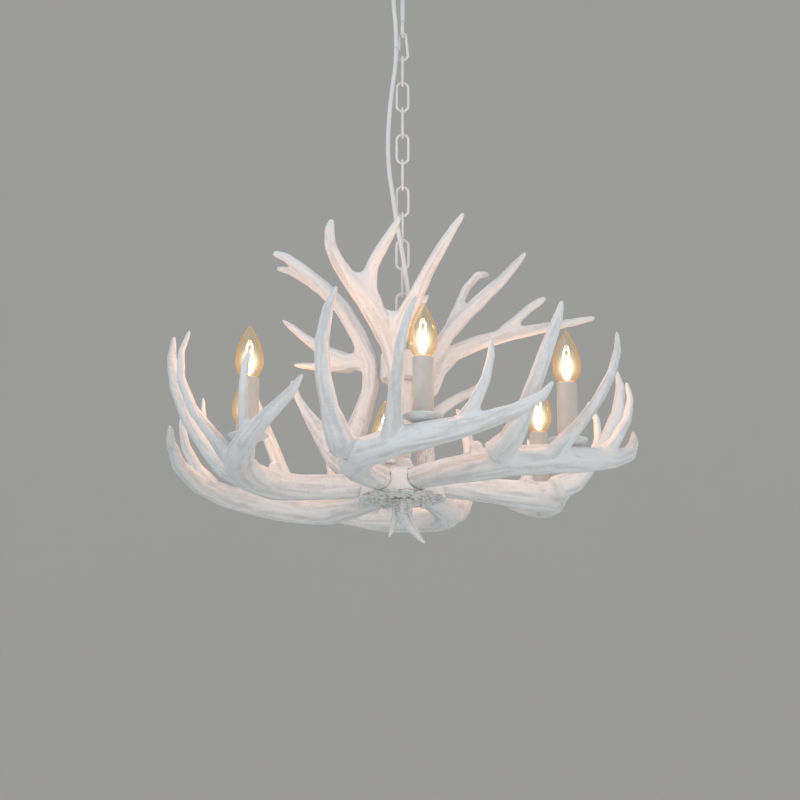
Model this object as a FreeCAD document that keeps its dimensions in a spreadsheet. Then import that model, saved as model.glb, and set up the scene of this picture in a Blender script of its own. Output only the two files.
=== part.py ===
"""Antler chandelier with six candle lights, hung on a short chain from a ceiling rose.

Frame: millimetres, +Z up, origin on the ceiling at the middle of the rose, so the light hangs at negative z.
-Y is the front. An azimuth of 0 points to the front and grows towards +X (seen from above, anticlockwise).
The antlers are resin castings: every beam and tine is a loft of flat facets through round sections.
"""
import FreeCAD, Part
import math
import os
from FreeCAD import Placement, Rotation, Vector

DOC = FreeCAD.newDocument("antler_chandelier")
OUT_FOLDER = "parts"

# ---------------------------------------------------------------- driving dimensions
DIMENSIONS = (
    ("strap_length", 92, "ceiling strap, along X"),
    ("strap_width", 18, "ceiling strap, along Y"),
    ("strap_thick", 3, "ceiling strap"),
    ("screw_spacing", 70, "two ceiling screws, along X"),
    ("screw_hole_d", 5, "clearance for a 4.5 mm wood screw"),
    ("boss_d", 14, "tapped boss in the middle of the strap"),
    ("boss_drop", 9, "bottom of the boss under the ceiling"),
    ("rose_d", 120, "ceiling rose, rim"),
    ("rose_neck_d", 44, "ceiling rose, flat face"),
    ("rose_drop", 28, "flat face under the ceiling"),
    ("rose_wall", 1.4, "pressed steel wall"),
    ("shank_d", 6, "shank of the eye hook"),
    ("shank_hole_d", 7.4, "hole in the rose for the shank"),
    ("eye_radius", 9, "centre line of the hook's eye"),
    ("eye_wire_d", 4.6, "wire of the hook's eye"),
    ("eye_centre_z", -89.5, "middle of the hook's eye"),
    ("gland_x", -12, "cable outlet of the rose, beside the hook"),
    ("gland_y", -6, "cable outlet of the rose"),
    ("gland_d", 10, "cable outlet bush"),
    ("cord_d", 5.8, "round white flex"),
    ("pear_wire_d", 3.8, "pear-shaped quick link"),
    ("pear_top_r", 4.3, "centre line of its narrow end"),
    ("pear_bottom_r", 6.9, "centre line of its wide end"),
    ("pear_bottom_z", -132.1, "centre line of its lowest point"),
    ("link_wire_d", 3.4, "welded chain link"),
    ("link_half_width", 7.6, "centre line of a link's round end"),
    ("link_pitch", 36.2, "one link of the taut chain"),
    ("link_count", 10, "links between the quick link and the loop"),
    ("loop_radius", 12, "centre line of the top loop"),
    ("loop_wire_d", 4, "wire of the top loop"),
    ("upper_hub_d", 56, "upper hub"),
    ("upper_hub_top", -535, "its top face"),
    ("upper_hub_tall", 35, "its height"),
    ("column_top_d", 26, "turned column between the hubs"),
    ("column_foot_d", 21, "column, where the trumpet starts"),
    ("rod_d", 10, "threaded centre rod"),
    ("lower_hub_d", 108, "lower hub"),
    ("lower_hub_top", -698.5, "upper edge of its rim"),
    ("lower_hub_foot", -723.5, "its underside"),
    ("trumpet_top", -672, "where the lower hub meets the column"),
    ("candle_ring_r", 229, "axis to each candle"),
    ("candle_top", -603.6, "rim of the candle sleeves"),
    ("candle_foot", -675.6, "bottom of the candle sleeves"),
    ("candle_d", 25, "candle sleeve"),
    ("candle_wall", 1.2, "candle sleeve wall"),
    ("cup_d", 49, "drip cup"),
    ("cup_rim", -673.5, "drip cup rim"),
    ("cup_foot", -683, "drip cup seat on the antler"),
    ("cup_foot_d", 19, "drip cup foot"),
    ("nipple_d", 10, "threaded tube that clamps cup and holder"),
    ("holder_d", 20, "lampholder, inside the sleeve"),
    ("holder_bore_d", 14.6, "its screw shell"),
    ("bulb_d", 35, "candle bulb"),
    ("cap_d", 13.6, "small screw cap"),
    ("cap_length", 19, "small screw cap, below the glass"),
    ("antler_sides", 8, "sides of each section of an antler"),
)


def make_sheet(rows):
    sheet = DOC.addObject("Spreadsheet::Sheet", "dimensions")
    for number, (name, value, note) in enumerate(rows, start=1):
        sheet.set("A%d" % number, name)
        sheet.set("B%d" % number, str(value))
        sheet.set("C%d" % number, note)
        sheet.setAlias("B%d" % number, name)
    DOC.recompute()
    return sheet


SHEET = make_sheet(DIMENSIONS)


def size(name):
    """A driving dimension, read back from the sheet."""
    return float(getattr(SHEET, name))


# ---------------------------------------------------------------- small helpers
def polar(radius, azimuth, z):
    """A point given by its distance from the axis, its azimuth in degrees and its height."""
    turn = math.radians(azimuth)
    return Vector(radius * math.sin(turn), -radius * math.cos(turn), z)


def facet(*corners):
    return Part.Face(Part.makePolygon(list(corners) + [corners[0]]))


def closed_solid(faces):
    solid = Part.makeSolid(Part.makeShell(faces))
    if solid.Volume < 0:
        solid.reverse()
    return solid


def keep(label, shape, azimuth=0):
    """A finished sub-part whose shape is worked out here from the sheet, swung to its azimuth."""
    piece = DOC.addObject("Part::Feature", label)
    piece.Label = label
    piece.Shape = shape
    piece.Placement = Placement(Vector(0, 0, 0), Rotation(Vector(0, 0, 1), azimuth))
    return piece


def round_bore(radius, sides):
    """Corner radius of a many-sided hole whose flats clear a round bar of this radius."""
    return radius / math.cos(math.pi / sides)


def bind(item, **expressions):
    for prop, formula in expressions.items():
        item.setExpression(prop.replace("__", "."), formula)
    return item


def cylinder(label, radius, height, base):
    """A cylinder on the main axis whose sizes are formulas of the sheet."""
    item = DOC.addObject("Part::Cylinder", label)
    item.Label = label
    return bind(item, Radius=radius, Height=height, Placement__Base__z=base)


def ring_sections(points, radii, sides):
    """Polygonal sections square to a path, carried along it without twist."""
    rings = []
    side = None
    for index, centre in enumerate(points):
        ahead = points[min(index + 1, len(points) - 1)]
        behind = points[max(index - 1, 0)]
        along = ahead - behind
        along.normalize()
        if side is None:
            guide = Vector(0, 0, 1) if abs(along.z) < 0.9 else Vector(1, 0, 0)
            side = along.cross(guide)
        side = side - along * side.dot(along)
        side.normalize()
        other = along.cross(side)
        turn = 0.5 * (index % 2)
        ring = []
        for step in range(sides):
            angle = 2 * math.pi * (step + turn) / sides
            spoke = side * math.cos(angle) + other * math.sin(angle)
            ring.append(centre + spoke * radii[index])
        rings.append(ring)
    return rings


def skin(rings, sides, closed=False):
    """Flat triangles between neighbouring sections, each turned half a side from the last."""
    faces = []
    count = len(rings)
    spans = count if closed else count - 1
    for index in range(spans):
        low = rings[index]
        high = rings[(index + 1) % count]
        for step in range(sides):
            following = (step + 1) % sides
            if index % 2 == 0:
                faces.append(facet(low[step], low[following], high[step]))
                faces.append(facet(low[following], high[following], high[step]))
            else:
                faces.append(facet(low[step], low[following], high[following]))
                faces.append(facet(low[step], high[following], high[step]))
    return faces


def limb(rows, sides):
    """A tapered branch through rows of (point, section radius)."""
    points = [row[0] for row in rows]
    radii = [row[1] for row in rows]
    rings = ring_sections(points, radii, sides)
    faces = skin(rings, sides)
    faces.append(facet(*rings[0]))
    faces.append(facet(*rings[-1]))
    return closed_solid(faces)


def turned(profile, sides, centre=Vector(0, 0, 0)):
    """A many-sided turning: profile is a closed loop of (radius, z), anticlockwise, clear of the axis."""
    faces = []
    count = len(profile)
    corners = []
    for radius, z in profile:
        ring = []
        for step in range(sides):
            angle = 2 * math.pi * step / sides
            ring.append(centre + Vector(radius * math.cos(angle), radius * math.sin(angle), z))
        corners.append(ring)
    for index in range(count):
        low = corners[index]
        high = corners[(index + 1) % count]
        for step in range(sides):
            following = (step + 1) % sides
            faces.append(facet(low[step], low[following], high[following], high[step]))
    return closed_solid(faces)


def turned_solid(profile, sides, centre=Vector(0, 0, 0)):
    """The same for a solid on its axis: profile runs from its lowest ring to its highest."""
    faces = []
    corners = []
    for radius, z in profile:
        ring = []
        for step in range(sides):
            angle = 2 * math.pi * step / sides
            ring.append(centre + Vector(radius * math.cos(angle), radius * math.sin(angle), z))
        corners.append(ring)
    for low, high in zip(corners, corners[1:]):
        for step in range(sides):
            following = (step + 1) % sides
            faces.append(facet(low[step], low[following], high[following], high[step]))
    faces.append(facet(*corners[0]))
    faces.append(facet(*corners[-1]))
    return closed_solid(faces)


def closed_wire_ring(points, wire_radius, sides):
    """A closed bar of round wire, such as a chain link, through a flat ring of points."""
    count = len(points)
    normal = (points[1] - points[0]).cross(points[2] - points[1])
    normal.normalize()
    rings = []
    for index, centre in enumerate(points):
        along = points[(index + 1) % count] - points[index - 1]
        along.normalize()
        outward = along.cross(normal)
        ring = []
        for step in range(sides):
            angle = 2 * math.pi * (step + 0.5 * (index % 2)) / sides
            spoke = outward * math.cos(angle) + normal * math.sin(angle)
            ring.append(centre + spoke * wire_radius)
        rings.append(ring)
    return closed_solid(skin(rings, sides, closed=True))


def arc_points(centre, radius, start, stop, steps, across):
    """Points on an arc in the plane of `across` (X or Y) and Z; angles in degrees from that axis."""
    points = []
    for step in range(steps + 1):
        angle = math.radians(start + (stop - start) * step / steps)
        sideways = across * (radius * math.cos(angle))
        points.append(centre + sideways + Vector(0, 0, radius * math.sin(angle)))
    return points


X_AXIS = Vector(1, 0, 0)
Y_AXIS = Vector(0, 1, 0)
WIRE_SIDES = 6
END_STEPS = 4

# ---------------------------------------------------------------- ceiling: strap, rose, eye hook, cable bush
strap_body = DOC.addObject("PartDesign::Body", "ceiling_strap")
strap_body.Label = "ceiling_strap"


def body_plane(body, role):
    for feature in body.Origin.OriginFeatures:
        if feature.Role == role:
            return feature
    raise RuntimeError("no plane " + role)


def new_sketch(body, name, role, offset_formula=None):
    sketch = body.newObject("Sketcher::SketchObject", name)
    sketch.AttachmentSupport = [(body_plane(body, role), "")]
    sketch.MapMode = "FlatFace"
    if offset_formula:
        sketch.setExpression("AttachmentOffset.Base.z", offset_formula)
    return sketch


def add_constraint(sketch, kind, *args, formula=None):
    import Sketcher
    index = sketch.addConstraint(Sketcher.Constraint(kind, *args))
    if formula:
        sketch.setExpression("Constraints[%d]" % index, formula)
    return index


def centred_rectangle(sketch, length, width, length_formula, width_formula):
    half_l = length / 2
    half_w = width / 2
    corners = [
        Vector(-half_l, -half_w, 0),
        Vector(half_l, -half_w, 0),
        Vector(half_l, half_w, 0),
        Vector(-half_l, half_w, 0),
    ]
    for index in range(4):
        sketch.addGeometry(Part.LineSegment(corners[index], corners[(index + 1) % 4]), False)
    for index in range(4):
        add_constraint(sketch, "Coincident", index, 2, (index + 1) % 4, 1)
    add_constraint(sketch, "Horizontal", 0)
    add_constraint(sketch, "Horizontal", 2)
    add_constraint(sketch, "Vertical", 1)
    add_constraint(sketch, "Vertical", 3)
    add_constraint(sketch, "Symmetric", 0, 1, 2, 1, -1, 1)
    add_constraint(sketch, "DistanceX", 0, 1, 0, 2, length, formula=length_formula)
    add_constraint(sketch, "DistanceY", 1, 1, 1, 2, width, formula=width_formula)


def circle_on_x(sketch, x, radius, x_formula, radius_formula):
    circle = sketch.addGeometry(Part.Circle(Vector(x, 0, 0), Vector(0, 0, 1), radius), False)
    if x_formula:
        add_constraint(sketch, "DistanceX", -1, 1, circle, 3, x, formula=x_formula)
        add_constraint(sketch, "PointOnObject", circle, 3, -1)
    else:
        add_constraint(sketch, "Coincident", circle, 3, -1, 1)
    add_constraint(sketch, "Radius", circle, radius, formula=radius_formula)


def pad(body, sketch, name, length_formula, reversed_way=False):
    feature = body.newObject("PartDesign::Pad", name)
    feature.Profile = sketch
    feature.Reversed = reversed_way
    feature.setExpression("Length", length_formula)
    return feature


def pocket_through(body, sketch, name):
    feature = body.newObject("PartDesign::Pocket", name)
    feature.Profile = sketch
    feature.Type = "ThroughAll"
    feature.Midplane = True
    return feature


strap_outline = new_sketch(strap_body, "strap_outline", "XY_Plane")
centred_rectangle(strap_outline, size("strap_length"), size("strap_width"),
                  "dimensions.strap_length", "dimensions.strap_width")
pad(strap_body, strap_outline, "strap_pad", "dimensions.strap_thick", reversed_way=True)
boss_outline = new_sketch(strap_body, "boss_outline", "XY_Plane")
circle_on_x(boss_outline, 0, size("boss_d") / 2, None, "dimensions.boss_d / 2")
pad(strap_body, boss_outline, "boss_pad", "dimensions.boss_drop", reversed_way=True)
DOC.recompute()
strap_holes = new_sketch(strap_body, "strap_holes", "XY_Plane")
circle_on_x(strap_holes, size("screw_spacing") / 2, size("screw_hole_d") / 2,
            "dimensions.screw_spacing / 2", "dimensions.screw_hole_d / 2")
circle_on_x(strap_holes, -size("screw_spacing") / 2, size("screw_hole_d") / 2,
            "-dimensions.screw_spacing / 2", "dimensions.screw_hole_d / 2")
circle_on_x(strap_holes, 0, size("shank_d") / 2, None, "dimensions.shank_d / 2")
pocket_through(strap_body, strap_holes, "strap_hole_pocket")

# The rose is a pressed dish: one closed profile turned about the axis, with a hole for the flex.
ROSE_RIM_GAP = 0.4
ROSE_SIDES = 30
GLAND_SIDES = 14
gland_at = Vector(size("gland_x"), size("gland_y"), 0)


def rose_profile():
    """Its outline in (radius, z): under the dish outwards, over the rim and back along the inside."""
    rim = size("rose_d") / 2
    neck = size("rose_neck_d") / 2
    drop = size("rose_drop")
    wall = size("rose_wall")
    hole = size("shank_hole_d") / 2
    return [
        (hole, -drop),
        (neck, -drop),
        (rim * 0.66, -drop * 0.84),
        (rim * 0.86, -drop * 0.5),
        (rim, -ROSE_RIM_GAP),
        (rim - wall, -ROSE_RIM_GAP),
        (rim * 0.86 - wall, -drop * 0.5 + wall * 0.6),
        (rim * 0.66 - wall * 0.5, -drop * 0.84 + wall),
        (neck - wall * 0.4, -drop + wall),
        (hole, -drop + wall),
    ]


flex_hole_r = round_bore(size("gland_d") / 2 + 0.05, GLAND_SIDES)
flex_hole = turned_solid([(flex_hole_r, -size("rose_drop") - 5), (flex_hole_r, -size("rose_drop") + 5)],
                         GLAND_SIDES, gland_at)
keep("ceiling_rose", turned(rose_profile(), ROSE_SIDES).cut(flex_hole))


def ring_of_points(centre, radius, steps, across):
    return arc_points(centre, radius, 90, 90 - 360 * (steps - 1) / steps, steps - 1, across)


EYE_STEPS = 16
SHANK_SIDES = 12


def eye_hook_shape():
    centre = Vector(0, 0, size("eye_centre_z"))
    ring = closed_wire_ring(ring_of_points(centre, size("eye_radius"), EYE_STEPS, Y_AXIS),
                            size("eye_wire_d") / 2, WIRE_SIDES)
    shank_foot = size("eye_centre_z") + size("eye_radius") - 1.2
    shank_r = size("shank_d") / 2
    neck = [(size("eye_wire_d") / 2, shank_foot), (shank_r, shank_foot + 7), (shank_r, -0.6)]
    return ring.fuse(turned_solid(neck, SHANK_SIDES))


keep("eye_hook", eye_hook_shape())

# Round nut that clamps the rose on the shank.
RING_NUT_TALL = 6
RING_NUT_D = 13
nut_floor = -size("rose_drop") - RING_NUT_TALL
keep("rose_nut", turned([
    (size("shank_d") / 2 + 0.06, nut_floor),
    (RING_NUT_D / 2 - 0.8, nut_floor),
    (RING_NUT_D / 2, nut_floor + 0.8),
    (RING_NUT_D / 2, -size("rose_drop")),
    (size("shank_d") / 2 + 0.06, -size("rose_drop")),
], 16))

# Bush that grips the flex where it enters the rose.
GLAND_TALL = 6
gland_floor = -size("rose_drop") - GLAND_TALL
keep("cable_bush", turned_solid([
    (size("cord_d") / 2 + 0.7, gland_floor),
    (size("gland_d") / 2 + 1.6, gland_floor + 2.4),
    (size("gland_d") / 2 + 1.6, -size("rose_drop")),
    (size("gland_d") / 2, -size("rose_drop")),
    (size("gland_d") / 2, -size("rose_drop") + 4.8),
], GLAND_SIDES, gland_at))

# Terminal block inside the rose, hung on the strap by its own foot.
TERMINAL = Vector(26, 13, 12)
terminal_box = DOC.addObject("Part::Box", "terminal_box")
bind(terminal_box, Length="%s mm" % TERMINAL.x, Width="%s mm" % TERMINAL.y, Height="%s mm" % TERMINAL.z,
     Placement__Base__x="12", Placement__Base__y="-6.5", Placement__Base__z="-dimensions.strap_thick - 12")
terminal_hole = DOC.addObject("Part::Cylinder", "terminal_hole")
bind(terminal_hole, Radius="1.6", Height="30", Placement__Base__x="18", Placement__Base__y="0",
     Placement__Base__z="-dimensions.strap_thick - 20")
terminal = DOC.addObject("Part::Cut", "terminal_block")
terminal.Label = "terminal_block"
terminal.Base = terminal_box
terminal.Tool = terminal_hole

# ---------------------------------------------------------------- pear quick link
pear_top_z = size("eye_centre_z") - size("eye_radius")
pear_low_z = size("pear_bottom_z") + size("pear_bottom_r")
pear_span = pear_top_z - pear_low_z
pear_lean = math.degrees(math.asin((size("pear_bottom_r") - size("pear_top_r")) / pear_span))


def pear_route():
    top = Vector(0, 0, pear_top_z)
    low = Vector(0, 0, pear_low_z)
    over = arc_points(top, size("pear_top_r"), 180 - pear_lean, pear_lean, 7, X_AXIS)
    under = arc_points(low, size("pear_bottom_r"), pear_lean, -180 - pear_lean, 8, X_AXIS)
    return over + under


keep("pear_link", closed_wire_ring(pear_route(), size("pear_wire_d") / 2, WIRE_SIDES))


def pear_nut_shape():
    """Hexagonal sleeve nut on the left leg, over the gap that opens the link."""
    lean = math.radians(pear_lean)
    leg = Vector(-math.cos(lean), 0, math.sin(lean))
    top = Vector(0, 0, pear_top_z) + leg * size("pear_top_r")
    low = Vector(0, 0, pear_low_z) + leg * size("pear_bottom_r")
    along = low - top
    start = top + along * 0.35
    stop = top + along * 0.78
    outer = limb([(start, 3.3), (stop, 3.3)], 6)
    wire_r = round_bore(size("pear_wire_d") / 2 + 0.05, WIRE_SIDES)
    wire = limb([(top, wire_r), (low, wire_r)], WIRE_SIDES)
    return outer.cut(wire)


keep("pear_nut", pear_nut_shape())

# ---------------------------------------------------------------- chain
link_centre_half = (size("link_pitch") + size("link_wire_d")) / 2
RUNNING_GAP = 0.1
first_link_z = (size("pear_bottom_z") + size("pear_wire_d") / 2 + size("link_wire_d") / 2 + RUNNING_GAP
                - link_centre_half)


def link_shape(centre_z, across):
    bend_offset = link_centre_half - size("link_half_width")
    upper = Vector(0, 0, centre_z + bend_offset)
    lower = Vector(0, 0, centre_z - bend_offset)
    route = arc_points(upper, size("link_half_width"), 180, 0, END_STEPS, across)
    route += arc_points(lower, size("link_half_width"), 0, -180, END_STEPS, across)
    return closed_wire_ring(route, size("link_wire_d") / 2, 6)


link_total = int(size("link_count"))
link_heights = [first_link_z - index * size("link_pitch") for index in range(link_total)]
keep("chain_links_side", Part.makeCompound([link_shape(z, Y_AXIS) for z in link_heights[0::2]]))
keep("chain_links_front", Part.makeCompound([link_shape(z, X_AXIS) for z in link_heights[1::2]]))

# ---------------------------------------------------------------- loop, hubs, column, rod
last_bar_z = link_heights[-1] - link_centre_half
loop_centre_z = last_bar_z + size("link_wire_d") / 2 + size("loop_wire_d") / 2 + 0.05 - size("loop_radius")


def loop_shape():
    centre = Vector(0, 0, loop_centre_z)
    ring = closed_wire_ring(ring_of_points(centre, size("loop_radius"), EYE_STEPS, Y_AXIS),
                            size("loop_wire_d") / 2, WIRE_SIDES)
    top = loop_centre_z - size("loop_radius") + 1.2
    neck = turned_solid([
        (9, size("upper_hub_top")),
        (9, size("upper_hub_top") + 4),
        (6, size("upper_hub_top") + 7),
        (5, top),
    ], 14)
    return ring.fuse(neck)


keep("top_loop", loop_shape())

upper_hub_floor = size("upper_hub_top") - size("upper_hub_tall")
upper_hub_blank = turned([
    (size("rod_d") / 2 + 0.05, upper_hub_floor),
    (size("upper_hub_d") / 2 - 1.5, upper_hub_floor),
    (size("upper_hub_d") / 2, upper_hub_floor + 1.5),
    (size("upper_hub_d") / 2, size("upper_hub_top") - 1.5),
    (size("upper_hub_d") / 2 - 1.5, size("upper_hub_top")),
    (size("rod_d") / 2 + 0.05, size("upper_hub_top")),
], 24)

# Bush in the top of the hub that the flex goes down.
cord_entry = Vector(13, -9, 0)
ENTRY_TALL = 6
keep("flex_bush", turned_solid([
    (6, size("upper_hub_top")),
    (6, size("upper_hub_top") + 2),
    (3.8, size("upper_hub_top") + ENTRY_TALL),
], 14, cord_entry))

keep("column", turned([
    (size("rod_d") / 2 + 0.1, size("trumpet_top")),
    (size("column_foot_d") / 2, size("trumpet_top")),
    (size("column_foot_d") / 2 + 0.6, size("trumpet_top") + 20),
    (size("column_top_d") / 2 - 0.4, size("upper_hub_top") - size("upper_hub_tall") - 22),
    (size("column_top_d") / 2, size("upper_hub_top") - size("upper_hub_tall")),
    (size("rod_d") / 2 + 0.1, size("upper_hub_top") - size("upper_hub_tall")),
], 20))

ROD_NUT_TALL = 8
rod_foot = size("lower_hub_foot") - 6
rod = cylinder("centre_rod", "dimensions.rod_d / 2",
               "dimensions.upper_hub_top - (dimensions.lower_hub_foot - 6)", "dimensions.lower_hub_foot - 6")

lower_hub_blank = turned([
    (size("rod_d") / 2 + 0.05, size("lower_hub_foot")),
    (size("lower_hub_d") / 2, size("lower_hub_foot")),
    (size("lower_hub_d") / 2, size("lower_hub_top")),
    (39, size("lower_hub_top") + 8),
    (27, size("lower_hub_top") + 11),
    (19, size("lower_hub_top") + 14),
    (13, size("lower_hub_top") + 19),
    (size("column_foot_d") / 2, size("trumpet_top")),
    (size("rod_d") / 2 + 0.05, size("trumpet_top")),
], 30)

# ---------------------------------------------------------------- antlers of the lower tier
# One casting, used six times. Rows are (distance from axis, azimuth, height over the hub's rim, radius).
LOWER_BEAM = (
    (37, -40, -6, 14.5),
    (60, -37, -8, 16),
    (92, -34, -10, 16.5),
    (127, -31, -12, 16.5),
    (162, -27, -12, 17.5),
    (194, -19, -8, 18),
    (223, -8, -3, 17),
    (249, 3, 1, 15),
    (269, 12, 8, 12),
    (284, 21, 24, 9.5),
    (291, 28, 46, 6.4),
    (292, 31, 65, 3),
)
FIRST_TINE = (
    (196, -27, -2, 15),
    (221, -26, 9, 13.5),
    (247, -26, 34, 11),
    (268, -26, 64, 10),
    (286, -25, 104, 9),
    (294, -23, 139, 6.8),
    (293, -21, 166, 3),
)
SECOND_TINE = (
    (232, -9, 4, 11),
    (261, -8, 30, 8.5),
    (287, -7.5, 56, 7),
    (306, -6.5, 90, 6),
    (310, -5, 121, 4.8),
    (304, -3, 147, 2.8),
)
THIRD_TINE = (
    (256, 9, 9, 11),
    (273, 11.5, 30, 8),
    (286, 13.5, 58, 6.4),
    (290, 14.5, 86, 4.8),
    (285, 15.3, 109, 2.8),
)
TRIMMED_TINE = (
    (160, -27.5, -4, 6.6),
    (160, -27.5, 17, 6),
)
LOWER_AZIMUTHS = (
    ("lower_antler_1", 6),
    ("lower_antler_2", 61),
    ("lower_antler_3", 128),
    ("lower_antler_4", 186),
    ("lower_antler_5", 244),
    ("lower_antler_6", 306),
)
SEAT_DEPTH = 22
SEAT_CLEARANCE = 0.12
FOOT_SCREW_R = 50
FOOT_SCREW_LAG = -38
SCREW_HEAD_R = 4
SCREW_SHANK_R = 2
SCREW_SIDES = 6
rim_z = size("lower_hub_top")
SIDES = int(size("antler_sides"))


def screw_hole(azimuth):
    """Pilot hole for the screw that comes up through the lower hub into an antler's foot."""
    radius = round_bore(SCREW_SHANK_R + 0.03, SCREW_SIDES)
    return turned_solid([(radius, size("lower_hub_foot") - 1), (radius, rim_z - 5)], SCREW_SIDES,
                        polar(FOOT_SCREW_R, azimuth + FOOT_SCREW_LAG, 0))


def lower_branch(rows, extra=0.0):
    return limb([(polar(row[0], row[1], rim_z + row[2]), row[3] + extra) for row in rows], SIDES)


def lower_antler_shape():
    """The casting at azimuth 0, drilled and flattened under its candle."""
    tines = [lower_branch(rows) for rows in (FIRST_TINE, SECOND_TINE, THIRD_TINE, TRIMMED_TINE)]
    casting = lower_branch(LOWER_BEAM).multiFuse(tines)
    spot = polar(size("candle_ring_r"), 0, 0)
    seat_r = size("cup_foot_d") / 2 + 4
    drill_r = round_bore(size("nipple_d") / 2 + 0.05, 10)
    seat = turned_solid([(seat_r, size("cup_foot")), (seat_r + 9, size("cup_foot") + 9)], 14, spot)
    floor = size("cup_foot") - SEAT_DEPTH
    drill = turned_solid([(drill_r, floor), (drill_r, size("cup_foot") + 1)], 10, spot)
    return casting.cut(seat).cut(drill).cut(screw_hole(0))


def turned_about_axis(shape, azimuth):
    """A copy swung about the main axis; azimuths grow from the front towards +X."""
    copy = shape.copy()
    copy.rotate(Vector(0, 0, 0), Vector(0, 0, 1), azimuth)
    return copy


lower_casting = lower_antler_shape()
for name, azimuth in LOWER_AZIMUTHS:
    keep(name, lower_casting, azimuth)

saddle = lower_branch(LOWER_BEAM[:3], SEAT_CLEARANCE)
lower_hub = lower_hub_blank
for name, azimuth in LOWER_AZIMUTHS:
    lower_hub = lower_hub.cut(turned_about_axis(saddle, azimuth)).cut(screw_hole(azimuth))

# ---------------------------------------------------------------- antlers of the upper tier
# Rows are (x, y, z over the lower hub's rim, radius). Each foot stands on the lower hub, and each beam
# leans on the upper hub, where one screw holds it.
FRONT_ANTLER = (
    ((-16, -31, 13, 10), (-14, -32, 40, 10), (-11, -36, 76, 10), (-8, -41, 110, 10.5), (-9, -44, 136, 12),
     (-15, -49, 160, 13), (-28, -58, 188, 14), (-46, -68, 214, 12.5), (-65, -80, 236, 10.5),
     (-81, -90, 258, 9), (-90, -96, 278, 7.6), (-91, -100, 297, 6.2), (-88, -102, 310, 3.6)),
    ((-36, -60, 206, 14), (-43, -67, 230, 11.5), (-39, -74, 254, 9), (-33, -80, 266, 8.2),
     (-23, -87, 282, 7.2), (-11, -93, 301, 5.6), (-3, -96, 316, 3.4)),
    ((-7, -52, 170, 14.5), (2, -58, 190, 14), (10, -64, 206, 12.5), (20, -71, 226, 10), (32, -78, 250, 8.2),
     (50, -86, 280, 7), (66, -92, 305, 5), (77, -96, 320, 3.2)),
    ((-2, -46, 172, 9), (12, -34, 200, 6.5), (24, -26, 222, 4.8), (33, -22, 236, 3)),
)
LEFT_ANTLER = (
    ((-52, 26, 10, 13), (-62, 22, 30, 12.5), (-64, 18, 56, 12), (-51, 12, 88, 11.5), (-41, 5, 118, 11),
     (-40, 3, 150, 11), (-57, 5, 191, 11), (-76, 8, 225, 10.5), (-100, 12, 255, 9.5),
     (-132, 19, 285, 7.5), (-152, 26, 302, 6.2), (-168, 32, 310, 4)),
    ((-88, 12, 238, 9), (-104, 18, 254, 7.5), (-121, 24, 268, 6.4), (-146, 34, 286, 5.4),
     (-164, 42, 292, 3.6)),
    ((-46, 6, 154, 11), (-72, 26, 161, 11.5), (-99, 44, 179, 9), (-126, 62, 203, 6.5), (-145, 74, 221, 4.8),
     (-158, 83, 233, 3)),
    ((-68, 26, 156, 11), (-88, 42, 159, 8), (-107, 56, 162, 6.2), (-127, 74, 169, 4.8), (-142, 88, 174, 3.2)),
    ((-58, 20, 14, 12), (-82, 24, 30, 11.5), (-107, 34, 73, 9), (-122, 39, 96, 7), (-134, 43, 117, 5),
     (-143, 47, 142, 3)),
)
RIGHT_ANTLER = (
    ((30, 44, 13, 12), (30, 40, 40, 11.5), (29, 34, 76, 11), (29, 27, 108, 11), (29, 24.5, 138, 11),
     (38, 29, 162, 10.5), (57, 35, 199, 10.5), (81, 41, 228, 10), (107, 47, 256, 9), (131, 53, 280, 7.5),
     (148, 58, 302, 5.8), (162, 62, 320, 3.4)),
    ((61, 36, 206, 9), (65, 40, 222, 6.8), (72, 46, 239, 6.2), (83, 56, 269, 5.6), (99, 64, 290, 5.4),
     (114, 70, 293, 3.8)),
    ((34, 28, 120, 11), (46, 40, 154, 11.5), (68, 52, 181, 11), (101, 66, 199, 10), (141, 84, 215, 8.5),
     (181, 100, 227, 7), (222, 116, 240, 5.8), (257, 129, 251, 3.6)),
    ((122, 76, 206, 8.5), (134, 82, 221, 7), (150, 88, 235, 6.6), (168, 98, 255, 6), (182, 104, 266, 5.2),
     (190, 108, 272, 3.4)),
    ((31, 36, 72, 11), (48, 46, 102, 8), (68, 58, 119, 7), (90, 70, 133, 5.8), (105, 79, 146, 4.8),
     (113, 84, 154, 3)),
)


def free_branch(rows, extra=0.0):
    return limb([(Vector(row[0], row[1], rim_z + row[2]), row[3] + extra) for row in rows], SIDES)


def upper_antler_shape(branches):
    solids = [free_branch(rows) for rows in branches]
    return solids[0].multiFuse(solids[1:])


UPPER_ANTLERS = (
    ("upper_antler_front", FRONT_ANTLER),
    ("upper_antler_left", LEFT_ANTLER),
    ("upper_antler_right", RIGHT_ANTLER),
)
for name, branches in UPPER_ANTLERS:
    keep(name, upper_antler_shape(branches))

# The hubs are cut to take the antlers that stand on them and lean on them.
upper_hub = upper_hub_blank
for name, branches in UPPER_ANTLERS:
    upper_hub = upper_hub.cut(free_branch(branches[0], SEAT_CLEARANCE))
    lower_hub = lower_hub.cut(free_branch(branches[0][:3], SEAT_CLEARANCE))
keep("upper_hub", upper_hub)
keep("lower_hub", lower_hub)

# ---------------------------------------------------------------- finial
FINIAL_STEM = (
    (0, 0, -25, 14),
    (0, 0, -34, 13),
    (2, 0, -46, 10.5),
    (7, -2, -56, 8),
    (14, -3, -66, 5.6),
    (22, -3, -76, 3.6),
    (28, -3, -81.5, 1.4),
)
FINIAL_SPUR = (
    (-5, 0, -34, 8),
    (-9, 1, -50, 5.4),
    (-13, 1, -63, 3.4),
    (-17, 1, -73.5, 1.3),
)


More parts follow.
